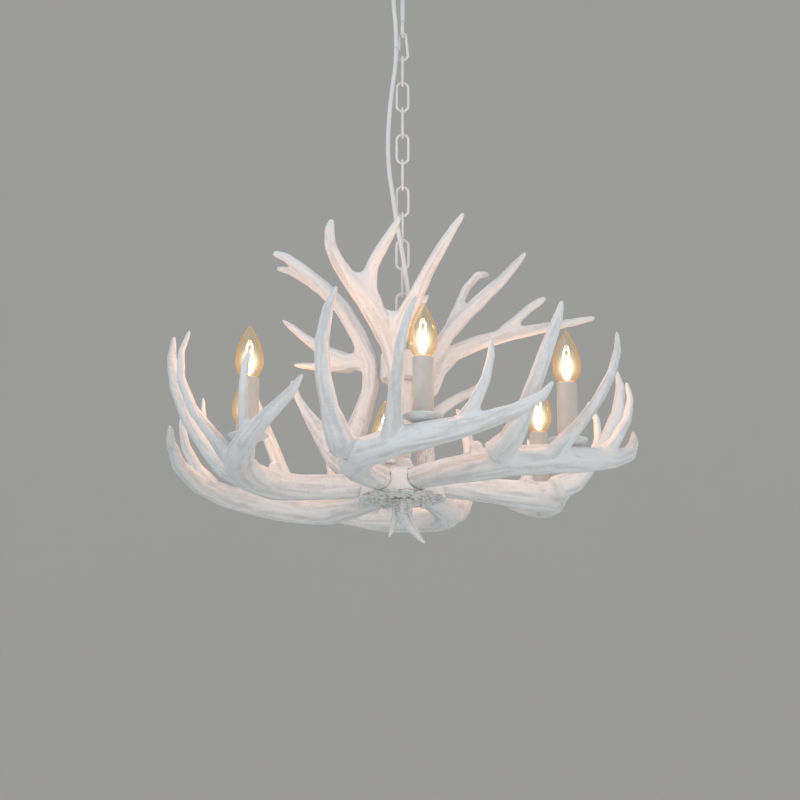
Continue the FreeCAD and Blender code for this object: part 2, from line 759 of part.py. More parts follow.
def finial_shape():
    body = free_branch(FINIAL_STEM).fuse(free_branch(FINIAL_SPUR))
    socket_r = round_bore(size("rod_d") / 2 + 0.05, 12)
    socket = turned_solid([(socket_r, rod_foot - 0.3), (socket_r, rim_z - 20)], 12)
    return body.cut(socket)


keep("finial", finial_shape())

# ---------------------------------------------------------------- candles: cup, nipple, holder, sleeve, bulb
CANDLE_SPOTS = [polar(size("candle_ring_r"), azimuth, 0) for name, azimuth in LOWER_AZIMUTHS]


def at_each_candle(build):
    """One node with the same piece at each of the six candles."""
    return Part.makeCompound([build(spot) for spot in CANDLE_SPOTS])


def cup_shape(spot):
    rim = size("cup_d") / 2
    floor = size("candle_foot")
    bore = round_bore(size("nipple_d") / 2 + 0.05, 12)
    return turned([
        (bore, size("cup_foot")),
        (size("cup_foot_d") / 2, size("cup_foot")),
        (rim * 0.66, size("cup_foot") + 2.8),
        (rim, size("cup_rim") - 1.2),
        (rim - 0.6, size("cup_rim")),
        (rim * 0.66, floor),
        (bore, floor),
    ], 12, spot)


def nipple_shape(spot):
    outer = size("nipple_d") / 2
    foot = size("cup_foot") - SEAT_DEPTH + 0.5
    top = size("candle_foot") + 12
    return turned([(outer - 1.2, foot), (outer, foot), (outer, top), (outer - 1.2, top)], 6, spot)


HOLDER_SIDES = 7
holder_top = size("candle_top") - 1.0
holder_foot = size("candle_foot") + 12


def holder_shape(spot):
    outer = size("holder_d") / 2
    bore = round_bore(size("holder_bore_d") / 2, HOLDER_SIDES)
    shelf = holder_top - size("cap_length") - 6
    return turned([
        (2, holder_foot),
        (outer, holder_foot),
        (outer, holder_top),
        (bore, holder_top),
        (bore, shelf),
        (2, shelf),
    ], HOLDER_SIDES, spot)


def sleeve_shape(spot):
    outer = size("candle_d") / 2
    inner = outer - size("candle_wall")
    return turned([
        (inner, size("candle_foot")),
        (outer, size("candle_foot")),
        (outer, size("candle_top")),
        (inner, size("candle_top")),
    ], 12, spot)


keep("drip_cups", at_each_candle(cup_shape))
keep("candle_nipples", at_each_candle(nipple_shape))
keep("lampholders", at_each_candle(holder_shape))
keep("candle_sleeves", at_each_candle(sleeve_shape))

glass_foot = size("candle_top") + 0.6
BULB_PROFILE = (
    (8.8, 0),
    (11.4, 3),
    (15.2, 9.5),
    (17.5, 19),
    (16.8, 30),
    (13.6, 42.5),
    (9, 54.5),
    (4, 63.5),
    (1.4, 66.5),
)
BULB_HOLLOW = ((6.4, 1.4), (13.6, 10), (15.6, 21), (12, 41.5), (3, 61))
BULB_SIDES = 12


def glass_shape(spot):
    scale = size("bulb_d") / 35
    outer = turned_solid([(r * scale, glass_foot + z) for r, z in BULB_PROFILE], BULB_SIDES, spot)
    hollow = turned_solid([(r * scale, glass_foot + z) for r, z in BULB_HOLLOW], 8, spot)
    opening = turned_solid([(4.2, glass_foot - 1), (4.2, glass_foot + 3)], 6, spot)
    return outer.cut(hollow.fuse(opening))


def cap_shape(spot):
    outer = size("cap_d") / 2
    floor = glass_foot - size("cap_length")
    return turned_solid([
        (2.4, floor - 2.4),
        (3.2, floor - 1),
        (outer - 1.4, floor + 0.6),
        (outer, floor + 2),
        (outer, glass_foot),
    ], 12, spot)


def stem_shape(spot):
    """Glass foot of the filament, with the filament standing on it."""
    base = turned_solid([(4, glass_foot), (3.4, glass_foot + 8), (1, glass_foot + 15)], 6, spot)
    legs = [spot + Vector(side * 2.6, 0, 0) for side in (-1, 1)]
    shapes = [base]
    for leg in legs:
        foot = leg + Vector(0, 0, glass_foot + 6)
        head = leg + Vector(0, 0, glass_foot + 42)
        shapes.append(limb([(foot, 0.7), (head, 0.7)], 4))
    crown = spot + Vector(0, 0, glass_foot + 41.6)
    bridge = limb([(crown - X_AXIS * 3.2, 0.7), (crown + X_AXIS * 3.2, 0.7)], 4)
    return shapes[0].multiFuse(shapes[1:] + [bridge])


for number, spot in enumerate(CANDLE_SPOTS, start=1):
    keep("bulb_glass_%d" % number, glass_shape(spot))
    keep("bulb_cap_%d" % number, cap_shape(spot))
    keep("bulb_filament_%d" % number, stem_shape(spot))

# ---------------------------------------------------------------- flex
FLEX_SIDES = 8


def section_area():
    return math.pi * (size("cord_d") / 2) ** 2


def round_section(centre, along):
    """An eight-sided section with the same area as the round flex."""
    corner_r = math.sqrt(section_area() * 2 / (FLEX_SIDES * math.sin(2 * math.pi / FLEX_SIDES)))
    ring = ring_sections([centre, centre + along], [corner_r, corner_r], FLEX_SIDES)[0]
    return ring + [ring[0]]


def flex_shape(points, label):
    """Straight runs joined by tangent arcs, as large as the two runs allow."""
    edges = []
    start = points[0]
    radii = []
    for before, corner, after in zip(points, points[1:], points[2:]):
        inward = corner - before
        onward = after - corner
        shorter = min(inward.Length, onward.Length)
        inward.normalize()
        onward.normalize()
        turn = math.acos(max(-1.0, min(1.0, inward.dot(onward))))
        reach = 0.45 * shorter
        radius = reach / math.tan(turn / 2)
        arc_from = corner - inward * reach
        arc_to = corner + onward * reach
        to_middle = onward - inward
        to_middle.normalize()
        middle = corner + to_middle * (radius / math.cos(turn / 2) - radius)
        edges.append(Part.LineSegment(start, arc_from).toShape())
        edges.append(Part.Arc(arc_from, middle, arc_to).toShape())
        start = arc_to
        radii.append(radius)
    edges.append(Part.LineSegment(start, points[-1]).toShape())
    path = Part.Wire(edges)
    along = points[1] - points[0]
    section = Part.makePolygon(round_section(points[0], along))
    tube = path.makePipeShell([section], True, False)
    expected = section_area() * path.Length
    print("%s: length %.1f mm, radii %s, volume %.0f against %.0f mm3"
          % (label, path.Length, [round(r) for r in radii], tube.Volume, expected))
    return tube


FLEX_UPPER = (
    (-12, -6, -34),
    (-12, -6, -57),
    (-8.4, -6.4, -88),
    (-8.4, -6.2, -117),
)
FLEX_LOWER = (
    (-8.4, -6.2, -117),
    (-8.4, -6.04, -140),
    (-13.5, -3.5, -172),
    (-18, -1.5, -218),
    (-19.2, -1.6, -258),
    (-17.2, -4, -292),
    (-12, -8, -328),
    (-7, -12, -366),
    (0, -14, -404),
    (5, -14, -440),
    (9.4, -12, -474),
    (13, -9, -504),
    (13, -9, -529),
)
keep("flex_upper", flex_shape([Vector(*p) for p in FLEX_UPPER], "upper flex"))
keep("flex_lower", flex_shape([Vector(*p) for p in FLEX_LOWER], "lower flex"))

# ---------------------------------------------------------------- screws that hold the antlers
def hub_screw(azimuth):
    """From under the lower hub into the foot of a lower antler."""
    spot = polar(FOOT_SCREW_R, azimuth + FOOT_SCREW_LAG, 0)
    return turned_solid([
        (SCREW_HEAD_R, size("lower_hub_foot") - 2.2),
        (SCREW_HEAD_R, size("lower_hub_foot")),
    ], 8, spot).fuse(turned_solid([
        (SCREW_SHANK_R, size("lower_hub_foot") - 1),
        (SCREW_SHANK_R, rim_z - 6),
    ], SCREW_SIDES, spot))


keep("foot_screws", Part.makeCompound([hub_screw(azimuth) for name, azimuth in LOWER_AZIMUTHS]))

# ---------------------------------------------------------------- checks and export
DOC.recompute()
EXPORTED = [item for item in DOC.Objects if item.TypeId == "Part::Feature"]
EXPORTED += [strap_body, terminal, rod]


def check_document():
    for item in DOC.Objects:
        if "Invalid" in item.State or "Error" in item.State:
            raise RuntimeError("%s did not compute" % item.Label)
    for item in EXPORTED:
        shape = item.Shape
        if shape.isNull() or not shape.isValid():
            raise RuntimeError("%s is not a valid shape" % item.Label)
        if shape.Volume <= 0:
            raise RuntimeError("%s has no volume" % item.Label)


check_document()
os.makedirs(OUT_FOLDER, exist_ok=True)
for item in EXPORTED:
    item.Shape.exportStep(os.path.join(OUT_FOLDER, item.Label + ".step"))
print("wrote %d sub-parts" % len(EXPORTED))
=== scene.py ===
# %% [markdown]
# # An antler chandelier with six candle lights
#
# Nine antlers cast in pale resin make this lamp: six lie in a ring round a cast hub and carry a candle
# each, and three stand up round the column. It hangs on a welded chain from a small ceiling rose, with a
# white flex beside the chain. The CAD model gives every size and every joint. This file dresses it: each
# cell makes one piece or one finish, and says first what it is and why it is made that way.

# %% Load the packed model and keep its box
import math
import bmesh
import bpy
import numpy as np
from mathutils import Matrix, Vector
from mathutils.kdtree import KDTree


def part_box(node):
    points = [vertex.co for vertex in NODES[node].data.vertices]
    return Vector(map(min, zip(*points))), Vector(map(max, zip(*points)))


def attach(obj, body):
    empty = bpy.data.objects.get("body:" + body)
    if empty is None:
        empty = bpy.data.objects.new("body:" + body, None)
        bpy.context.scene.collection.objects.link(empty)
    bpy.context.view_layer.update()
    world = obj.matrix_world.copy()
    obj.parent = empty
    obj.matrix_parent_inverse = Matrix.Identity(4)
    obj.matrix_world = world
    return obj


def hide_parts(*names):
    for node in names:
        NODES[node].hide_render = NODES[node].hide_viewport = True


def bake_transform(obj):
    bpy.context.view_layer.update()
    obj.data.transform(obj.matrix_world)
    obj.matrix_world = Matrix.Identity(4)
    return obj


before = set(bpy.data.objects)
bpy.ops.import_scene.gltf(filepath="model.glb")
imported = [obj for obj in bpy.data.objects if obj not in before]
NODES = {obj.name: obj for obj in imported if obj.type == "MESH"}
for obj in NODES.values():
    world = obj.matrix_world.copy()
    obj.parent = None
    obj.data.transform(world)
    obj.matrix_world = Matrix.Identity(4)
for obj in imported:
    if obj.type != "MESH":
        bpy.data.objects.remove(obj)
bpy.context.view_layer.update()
CANDLES = range(1, 7)

# %% [markdown]
# ## The camera
# The photograph was taken from below the lamp with a long lens: the tops of the cups are hidden and the
# two sides of the ring of candles are nearly the same size. A 103 mm lens 2.9 m away, looking up by not
# quite 15 degrees, gives that. The lens is shifted by a few thousandths, since the lamp hangs just right
# of the middle of the picture.

# %% Camera
LOOK_AT = Vector((0, 0, -0.595))
CAMERA_DISTANCE = 2.9
CAMERA_ANGLE = math.radians(-14.71)
LENS_MM = 103.1
SENSOR_MM = 36
LENS_SHIFT = -0.0031
camera = bpy.data.objects.new("camera", bpy.data.cameras.new("camera"))
camera.data.lens = LENS_MM
camera.data.sensor_width = SENSOR_MM
camera.data.shift_x = LENS_SHIFT
away = Vector((0, -math.cos(CAMERA_ANGLE), math.sin(CAMERA_ANGLE)))
camera.location = LOOK_AT + away * CAMERA_DISTANCE
camera.rotation_euler = (-away).to_track_quat("-Z", "Y").to_euler()
bpy.context.scene.collection.objects.link(camera)
bpy.context.scene.camera = camera
bpy.context.scene.view_settings.view_transform = "Standard"
print("camera at", tuple(round(v, 3) for v in camera.location))

# %% [markdown]
# ## The flex
# A round white flex leaves the rose through a bush, hangs beside the chain, bows out to the left where
# the chain is shortest, crosses in front of it and goes into the upper hub. It is slack, so it is one
# smooth curve. A NURBS spline of order 3 takes the listed points as its control points, and never
# kinks. Two tubes meet beside the quick link, because the lamp can swing there.

# %% Flex
CORD_D = 0.0058
UPPER_ROUTE = (
    (-0.012, -0.006, -0.034),
    (-0.012, -0.006, -0.057),
    (-0.0084, -0.0064, -0.088),
    (-0.0084, -0.0062, -0.117),
)
LOWER_ROUTE = (
    (-0.0084, -0.0062, -0.117),
    (-0.0084, -0.00604, -0.140),
    (-0.0135, -0.0035, -0.172),
    (-0.018, -0.0015, -0.218),
    (-0.0192, -0.0016, -0.258),
    (-0.0172, -0.004, -0.292),
    (-0.012, -0.008, -0.328),
    (-0.007, -0.012, -0.366),
    (0.0, -0.014, -0.404),
    (0.005, -0.014, -0.440),
    (0.0094, -0.012, -0.474),
    (0.013, -0.009, -0.504),
    (0.013, -0.009, -0.529),
)
CORD_SIDES = 20
CORD_STEPS = 14


def add_object(name, data):
    item = bpy.data.objects.new(name, data)
    bpy.context.scene.collection.objects.link(item)
    return item


def spline_points(route):
    """Points along the smooth line that the route's points control."""
    data = bpy.data.curves.new("route", "CURVE")
    data.dimensions = "3D"
    data.resolution_u = CORD_STEPS
    spline = data.splines.new("NURBS")
    spline.points.add(len(route) - 1)
    for point, place in zip(spline.points, route):
        point.co = (*place, 1)
    spline.order_u = 3
    spline.use_endpoint_u = True
    carrier = add_object("route", data)
    bpy.context.view_layer.update()
    graph = bpy.context.evaluated_depsgraph_get()
    line = bpy.data.meshes.new_from_object(carrier.evaluated_get(graph))
    points = [vertex.co.copy() for vertex in line.vertices]
    bpy.data.objects.remove(carrier)
    return points


def ring_round(mesh, centre, side, other, radius, sides):
    """A ring of vertices round a centre, in the plane of two directions."""
    turns = [2 * math.pi * step / sides for step in range(sides)]
    return [mesh.verts.new(centre + (side * math.cos(t) + other * math.sin(t)) * radius) for t in turns]


def tube_mesh(name, points, radius, sides):
    """A round tube through the points, with closed ends and a UV map that runs round and along."""
    mesh = bmesh.new()
    uv = mesh.loops.layers.uv.new("UVMap")
    side = None
    rings = []
    travelled = [0.0]
    for index, centre in enumerate(points):
        ahead = points[min(index + 1, len(points) - 1)]
        behind = points[max(index - 1, 0)]
        along = (ahead - behind).normalized()
        side = side or along.orthogonal()
        side = (side - along * side.dot(along)).normalized()
        rings.append(ring_round(mesh, centre, side, along.cross(side), radius, sides))
        if index:
            travelled.append(travelled[-1] + (centre - behind).length)
    for index in range(len(rings) - 1):
        for step in range(sides):
            after = (step + 1) % sides
            low, high = rings[index], rings[index + 1]
            face = mesh.faces.new((low[step], low[after], high[after], high[step]))
            places = ((step, index), (step + 1, index), (step + 1, index + 1), (step, index + 1))
            for loop, (around, level) in zip(face.loops, places):
                loop[uv].uv = (around / sides, travelled[level] / (2 * math.pi * radius))
            face.smooth = True
    mesh.faces.new(rings[0][::-1])
    mesh.faces.new(rings[-1])
    data = bpy.data.meshes.new(name)
    bmesh.ops.recalc_face_normals(mesh, faces=mesh.faces[:])
    mesh.to_mesh(data)
    mesh.free()
    return add_object(name, data)


def make_flex(name, route, node):
    """One half of the flex, which stands for one CAD tube."""
    points = spline_points(route)
    flex = tube_mesh(name, points, CORD_D / 2, CORD_SIDES)
    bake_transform(flex)
    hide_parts(node)
    print(name, "spline length", round(sum((b - a).length for a, b in zip(points, points[1:])), 4))
    return flex


upper_flex = make_flex("flex_above_quick_link", UPPER_ROUTE, "flex_upper")
lower_flex = make_flex("flex_along_chain", LOWER_ROUTE, "flex_lower")

# %% [markdown]
# ## Shader arithmetic
# Materials here are sums and products of patterns. Wrapping a socket in a small class lets them be
# written as ordinary expressions: `1 - mask * 0.4` adds the Math nodes that it needs. Colours go through
# Mix, because a Math node would turn them grey.

# %% A socket that can be added and multiplied
def feed(tree, slot, value):
    """Links a term to an input socket, or sets the socket to a plain value."""
    if isinstance(value, Term):
        tree.links.new(value.socket, slot)
    else:
        slot.default_value = value


def both_forms(operation):
    """An operator with the term on its left, and its reflected form with the term on its right."""
    return (lambda term, other: term.math(operation, term, other),
            lambda term, other: term.math(operation, other, term))


class Term:
    """An output socket of a node tree that can be used in arithmetic."""

    def __init__(self, tree, socket):
        self.tree = tree
        self.socket = socket

    def math(self, operation, left, right, clamp=False):
        node = self.tree.nodes.new("ShaderNodeMath")
        node.operation = operation
        node.use_clamp = clamp
        for slot, value in zip(node.inputs, (left, right)):
            feed(self.tree, slot, value)
        return Term(self.tree, node.outputs[0])

    __add__, __radd__ = both_forms("ADD")
    __sub__, __rsub__ = both_forms("SUBTRACT")
    __mul__, __rmul__ = both_forms("MULTIPLY")
    __pow__, __rpow__ = both_forms("POWER")

    def clamp(self):
        return self.math("ADD", self, 0.0, clamp=True)

    def step(self, low, high):
        """0 below low, 1 above high, a straight ramp between."""
        return ((self - low) * (1 / (high - low))).clamp()


print("operators:", [name for name in vars(Term) if name.startswith("__r")])

# %% [markdown]
# ## Building a finish
# Every material is one Principled shader with nodes that feed it. One method adds any node: its settings
# first, since they decide which sockets it has, then the values or links of those. Patterns read Object
# coordinates, so they lie still on the piece, or an attribute that the mesh carries.

# %% A material under construction
class Finish:
    """A material under construction: one shader and the nodes that feed it."""

    def __init__(self, name, **constants):
        self.material = bpy.data.materials.new(name)
        self.material.use_nodes = True
        self.tree = self.material.node_tree
        self.shader = self.tree.nodes["Principled BSDF"]
        self.output = self.tree.nodes["Material Output"]
        for socket, value in constants.items():
            self.shader.inputs[socket.replace("_", " ")].default_value = value

    def node(self, kind, inputs=None, output=0, **settings):
        """Adds a node: its settings first, then the values or links of its sockets."""
        node = self.tree.nodes.new(kind)
        for name, value in settings.items():
            setattr(node, name, value)
        for name, value in (inputs or {}).items():
            feed(self.tree, node.inputs[name], value)
        return Term(self.tree, node.outputs[output])

    def place(self):
        return self.node("ShaderNodeTexCoord", output="Object")

    def cloud(self, scale, detail=3.0, roughness=0.5):
        return self.node("ShaderNodeTexNoise", {"Vector": self.place(), "Scale": scale,
                                                "Detail": detail, "Roughness": roughness})

    def attribute(self, name):
        return self.node("ShaderNodeAttribute", output="Fac", attribute_name=name)

    def blend(self, factor, first, second):
        """A colour between two others; a Mix node numbers its colour sockets 6, 7 and 2."""
        colours = {6: (*first, 1) if isinstance(first, tuple) else first,
                   7: (*second, 1) if isinstance(second, tuple) else second}
        return self.node("ShaderNodeMix", {0: factor, **colours}, output=2, data_type="RGBA")

    def bump(self, height, distance, strength):
        relief = self.node("ShaderNodeBump", {"Height": height, "Distance": distance, "Strength": strength})
        self.set(Normal=relief)

    def set(self, **links):
        for name, value in links.items():
            feed(self.tree, self.shader.inputs[name.replace("_", " ")], value)


def dress(item, material, body, slot, node=None):
    """Gives a piece its finish and the body it moves with, and hides the CAD node that it replaces; the slot
    is not used.
    """
    item.data.materials.append(material)
    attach(item, body)
    if node:
        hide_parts(node)


print("helpers ready:", Finish.__name__, dress.__name__)

# %% [markdown]
# ## Cast resin
# The antlers are poured from white resin and left matt. The deepest grooves of the grain are painted a
# little grey, which is painted shade in the creases, and the high ribs stay nearly white. In the pits of a
# burr the bark's own tan is deepened by more painted shade. The vertices carry what drives this as two
# numbers: `grain`, how high a point stands on its rib, and `bark`, how near it is to a burr. A fine noise
# gives the skin the tooth that stops it from looking like glazed china.

# %% Resin for the antlers and hubs
WHITE_RESIN = (0.80, 0.805, 0.812)
# Painted shade: the grey laid into the deepest grooves, where shade falls.
PAINTED_GROOVE_SHADE = (0.52, 0.50, 0.485)
# Partly the bark's own tan and partly painted shade in its pits.
BARK_TAN_AND_PIT_SHADE = (0.46, 0.415, 0.38)
WARM_PATCH = (0.80, 0.785, 0.765)


def resin_finish():
    finish = Finish("cast_resin", IOR=1.46, Coat_Roughness=0.35)
    grain = finish.attribute("grain")
    bark = finish.attribute("bark")
    mottle = finish.cloud(38, 4.0)
    tooth = finish.cloud(900, 3.0, 0.6)
    pores = finish.cloud(260, 3.0, 0.55)
    low = (1 - grain).step(0.45, 0.90)
    # Painted shade in the grooves: the lower a point sits between the ribs, the greyer it is, and more so in
    # bark.
    shaded = finish.blend(low * (0.48 + bark * 0.3), WHITE_RESIN, PAINTED_GROOVE_SHADE)
    # In the low pits of the bark: its own tan, deepened as painted shade.
    bark_and_pit_shaded = finish.blend(bark * low * 0.7, shaded, BARK_TAN_AND_PIT_SHADE)
    patched = finish.blend(mottle.step(0.42, 0.72) * 0.4, bark_and_pit_shaded, WARM_PATCH)
    finish.set(Base_Color=patched)
    finish.set(Roughness=0.48 + low * 0.14 + (tooth - 0.5) * 0.14)
    finish.set(Coat_Weight=(0.12 - low * 0.1).clamp())
    finish.bump(tooth * 0.3 + pores * (0.4 + bark) + grain * 1.2, 0.0011, 0.5)
    return finish.material


RESIN = resin_finish()
print("resin:", RESIN.name)

# %% [markdown]
# ## Growing a skin on a casting
# The CAD antlers are flat facets. The visible skin starts as a welded copy of each, which a voxel remesh
# turns into one even net of points over all its branches. From there on the points are numpy arrays, which
# are far quicker to work on than vertices one by one.

# %% Copy, remesh and arrays
VOXEL = 0.0014


def cad_copy(node, name, plugs=()):
    """A welded copy of a CAD node's mesh, as a new object, with its drilled holes plugged."""
    data = NODES[node].data.copy()
    data.name = name
    data.materials.clear()
    mesh = bmesh.new()
    mesh.from_mesh(data)
    bmesh.ops.remove_doubles(mesh, verts=mesh.verts[:], dist=0.00002)
    bmesh.ops.recalc_face_normals(mesh, faces=mesh.faces[:])
    for x, y, low, high, radius in plugs:
        bmesh.ops.create_cone(mesh, cap_ends=True, segments=16, radius1=radius, radius2=radius,
                              depth=high - low, matrix=Matrix.Translation((x, y, (low + high) / 2)))
    mesh.to_mesh(data)
    mesh.free()
    return add_object(name, data)


def plain_mesh(item):
    """Bakes an object's modifiers into its mesh."""
    bpy.context.view_layer.update()
    graph = bpy.context.evaluated_depsgraph_get()
    baked = bpy.data.meshes.new_from_object(item.evaluated_get(graph))
    item.modifiers.clear()
    item.data = baked
    return item


def remeshed(item, voxel):
    modifier = item.modifiers.new("voxels", "REMESH")
    modifier.mode = "VOXEL"
    modifier.voxel_size = voxel
    modifier.use_smooth_shade = True
    return plain_mesh(item)


def mesh_arrays(data):
    places = np.zeros(len(data.vertices) * 3, np.float32)
    data.vertices.foreach_get("co", places)
    ends = np.zeros(len(data.edges) * 2, np.int32)
    data.edges.foreach_get("vertices", ends)
    ends = ends.reshape(-1, 2)
    return places.reshape(-1, 3).astype(float), ends[:, 0], ends[:, 1]


def vertex_normals(data):
    normals = np.zeros(len(data.vertices) * 3, np.float32)
    data.vertex_normals.foreach_get("vector", normals)
    return normals.reshape(-1, 3).astype(float)


def set_places(data, places):
    data.vertices.foreach_set("co", places.astype(np.float32).ravel())
    data.update()


def store(data, name, values):
    layer = data.attributes.new(name, "FLOAT", "POINT")
    layer.data.foreach_set("value", values.astype(np.float32))


print("net of", VOXEL * 1000, "mm cells")

# %% [markdown]
# ## Round forms and webbed forks
# Averaging each point with its neighbours rounds the facets. What the averaging takes from a thin tine is
# measured and given back.
#
# A real fork isn't a sharp V: a web of bone rounds it. To grow one, the skin is swelled outwards until the
# two branches meet, welded there by a second remesh and let shrink by as much. Open skin comes back to
# where it was, and what has met stays.

# %% Averaging and webs
OWN_SHARE = 0.4
NEIGHBOUR_SHARE = 0.6
WEB_ROUNDS = 8


def soften(value, rounds, first, second, count):
    """Averages a value at each vertex with its neighbours', a number of times over."""
    degree = np.bincount(first, minlength=count) + np.bincount(second, minlength=count)
    degree = np.maximum(degree, 1)
    flat = value.reshape(count, -1)
    for _ in range(rounds):
        total = np.empty_like(flat)
        for column in range(flat.shape[1]):
            total[:, column] = (np.bincount(first, flat[second, column], count)
                                + np.bincount(second, flat[first, column], count))
        flat = OWN_SHARE * flat + NEIGHBOUR_SHARE * total / degree[:, None]
    return flat.reshape(value.shape)


def rounded_places(places, first, second, rounds):
    """Averages away facets, then gives back twice what the averaging took from the large form."""
    count = len(places)
    smooth = soften(places, rounds, first, second, count)
    for _ in range(2):
        smooth = smooth + soften(places - smooth, rounds, first, second, count)
    return smooth


def webbed(item, web_of, voxel):
    """Swells the skin, welds it and lets it shrink back, which leaves a round web in every fork."""
    for way in (1, -1):
        places, first, second = mesh_arrays(item.data)
        set_places(item.data, rounded_places(places, first, second, WEB_ROUNDS))
        places = mesh_arrays(item.data)[0]
        swell = vertex_normals(item.data) * web_of(places)[:, None] * way
        set_places(item.data, places + swell)
        item = remeshed(item, voxel)
    return item


print("webs are welded after", WEB_ROUNDS, "rounds of averaging")

# %% [markdown]
# ## Grain along the beams
# Real grain runs along a beam and forks with it. To find that direction anywhere, look at how the
# surface faces: on a rod, every normal is square to the rod, so the direction that the normals nearby
# point along the least is the rod's own. Then a random height at each vertex, averaged with the vertices
# ahead and behind it on that line, becomes ridges that follow each beam and each fork.

# %% Directions and streaks
REACH = 0.0036
DIRECTION_ROUNDS = 46
GRAIN_SPREAD = 1.7


def along_beam(normals, first, second):
    """The direction that the normals round about point along the least."""
    count = len(normals)
    products = np.einsum("ni,nj->nij", normals, normals).reshape(count, 9)
    spread = soften(products, DIRECTION_ROUNDS, first, second, count).reshape(count, 3, 3)
    along = np.linalg.eigh(spread)[1][:, :, 0]
    along = along - normals * np.sum(along * normals, axis=1)[:, None]
    return along / np.maximum(np.linalg.norm(along, axis=1), 1e-6)[:, None]


def neighbours_along(places, along):
    """For each vertex, the vertices about one reach ahead of and behind it."""
    tree = KDTree(len(places))
    for index, place in enumerate(places):
        tree.insert(place, index)
    tree.balance()
    ahead = np.array([tree.find(place)[1] for place in places + along * REACH])
    behind = np.array([tree.find(place)[1] for place in places - along * REACH])
    return ahead, behind


def streaks(seed, ahead, behind, along, steps):
    """Averages a random value along the lines that follow the beam."""
    total = seed.copy()
    for start in (1, -1):
        index = np.arange(len(seed))
        heading = np.full(len(seed), start)
        for _ in range(steps):
            following = np.where(heading > 0, ahead[index], behind[index])
            turned = np.sum(along[index] * along[following], axis=1) < 0
            heading = np.where(turned, -heading, heading)
            index = following
            total = total + seed[index]
    return total / (2 * steps + 1)


def levelled(values):
    """Puts a value on a 0 to 1 scale round its own mean."""
    scaled = (values - values.mean()) / (values.std() * GRAIN_SPREAD * 2) + 0.5
    return np.clip(scaled, 0, 1)


print("one step along a streak:", REACH * 1000, "mm")

# %% [markdown]
# ## The whole skin
# Fine ribs lie over broad ones. Towards a burr the ribs deepen and small pearls take their place. Palms
# and burrs also get a little flesh along their normals, where the real ones are fuller than a tube. The
# heights move the points, and are kept as the `grain` that the resin's colour reads.

# %% Skin
STREAK_STEPS = 7
BROAD_STEPS = 10
FINE_SHARE = 0.62
BROAD_SHARE = 0.38
BARK_RIBS = 1.6


def grow_skin(name, node, seed, bark_of, depth=0.0010, bark_depth=0.0013, voxel=VOXEL, rounds=36, plugs=(),
              web_of=None, flesh_of=None, groove_shade_cut=0.0):
    """Replaces a faceted casting by a rounded one with grain along its beams and bark at its foot."""
    item = remeshed(cad_copy(node, name, plugs), voxel)
    if web_of:
        item = webbed(item, web_of, voxel)
    places, first, second = mesh_arrays(item.data)
    count = len(places)
    set_places(item.data, rounded_places(places, first, second, rounds))
    places, first, second = mesh_arrays(item.data)
    normals = vertex_normals(item.data)
    if flesh_of:
        places = places + normals * flesh_of(places, normals)[:, None]
    along = along_beam(normals, first, second)
    ahead, behind = neighbours_along(places, along)
    chance = np.random.default_rng(seed)

    def drawn(blur, steps):
        """Random heights, blurred and then drawn out along the beams."""
        heights = soften(chance.random(count), blur, first, second, count)
        return levelled(streaks(heights, ahead, behind, along, steps))

    fine = drawn(2, STREAK_STEPS)
    broad = drawn(9, BROAD_STEPS)
    pearls = np.abs(drawn(3, 1) - 0.5) * 2
    bark = np.clip(bark_of(places), 0, 1)
    ribs = FINE_SHARE * fine + BROAD_SHARE * broad
    lift = (ribs - 0.5) * depth * (1 + BARK_RIBS * bark) + (pearls - 0.5) * bark_depth * bark
    set_places(item.data, places + normals * lift[:, None])
    grain = levelled(soften(ribs * (1 - bark) + pearls * bark, 1, first, second, count))
    # groove_shade_cut lifts the grain off the bark, which lessens the painted groove shade, and also the
    # grain's bump and gloss.
    store(item.data, "grain", grain + groove_shade_cut * (1 - bark) * (1 - grain))
    store(item.data, "bark", bark)
    item.data.shade_smooth()
    dress(item, RESIN, "pendant", "resin", node)
    print(name, "vertices", count, "bark up to", round(float(bark.max()), 2))


print("fine streaks", round(REACH * STREAK_STEPS * 2000), "mm long")

# %% [markdown]
# ## The nine antlers
# The same skin grows on all nine, with sizes that differ from place to place: bark only at the foot, a
# broad web where the first tine leaves, and hardly any web under a candle, where the cup has to sit flat.
# The drilled holes are plugged first, because averaging would leave them as dents.

# %% Antlers below and above
LOWER_FLESH = 0.0026
LEFT_FLESH = 0.0036
WEB_AT_CANDLE = 0.0004
WEB_RISE = 0.15


def distance_out(places):
    return np.hypot(places[:, 0], places[:, 1])


def fading(values, start, length, most=1, least=0):
    """A size that is most up to a start and least a length beyond it."""
    return least + (most - least) * (1 - np.clip((values - start) / length, 0, 1))


def even(size):
    """A size that is the same all over."""
    return lambda places: np.full(len(places), size)


def lower_bark(places):
    """Bark is left only round the sawn foot by the hub, and fades out along the beam."""
    return fading(distance_out(places), 0.040, 0.045, 0.4)


def upper_bark(places):
    """An upper antler keeps its bark over the foot and the first tine."""
    return fading(places[:, 2], -0.645, 0.050, 0.5)


def middle(node):
    low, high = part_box(node)
    return (low + high) / 2


SPOTS = [middle("bulb_cap_%d" % number) for number in CANDLES]
CUP_FOOT_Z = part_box("drip_cups")[0].z
NIPPLE_FOOT_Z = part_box("candle_nipples")[0].z
SCREW_TOP_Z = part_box("foot_screws")[1].z
SCREW_RING_R = 0.050
SCREW_LAG = math.radians(-38)


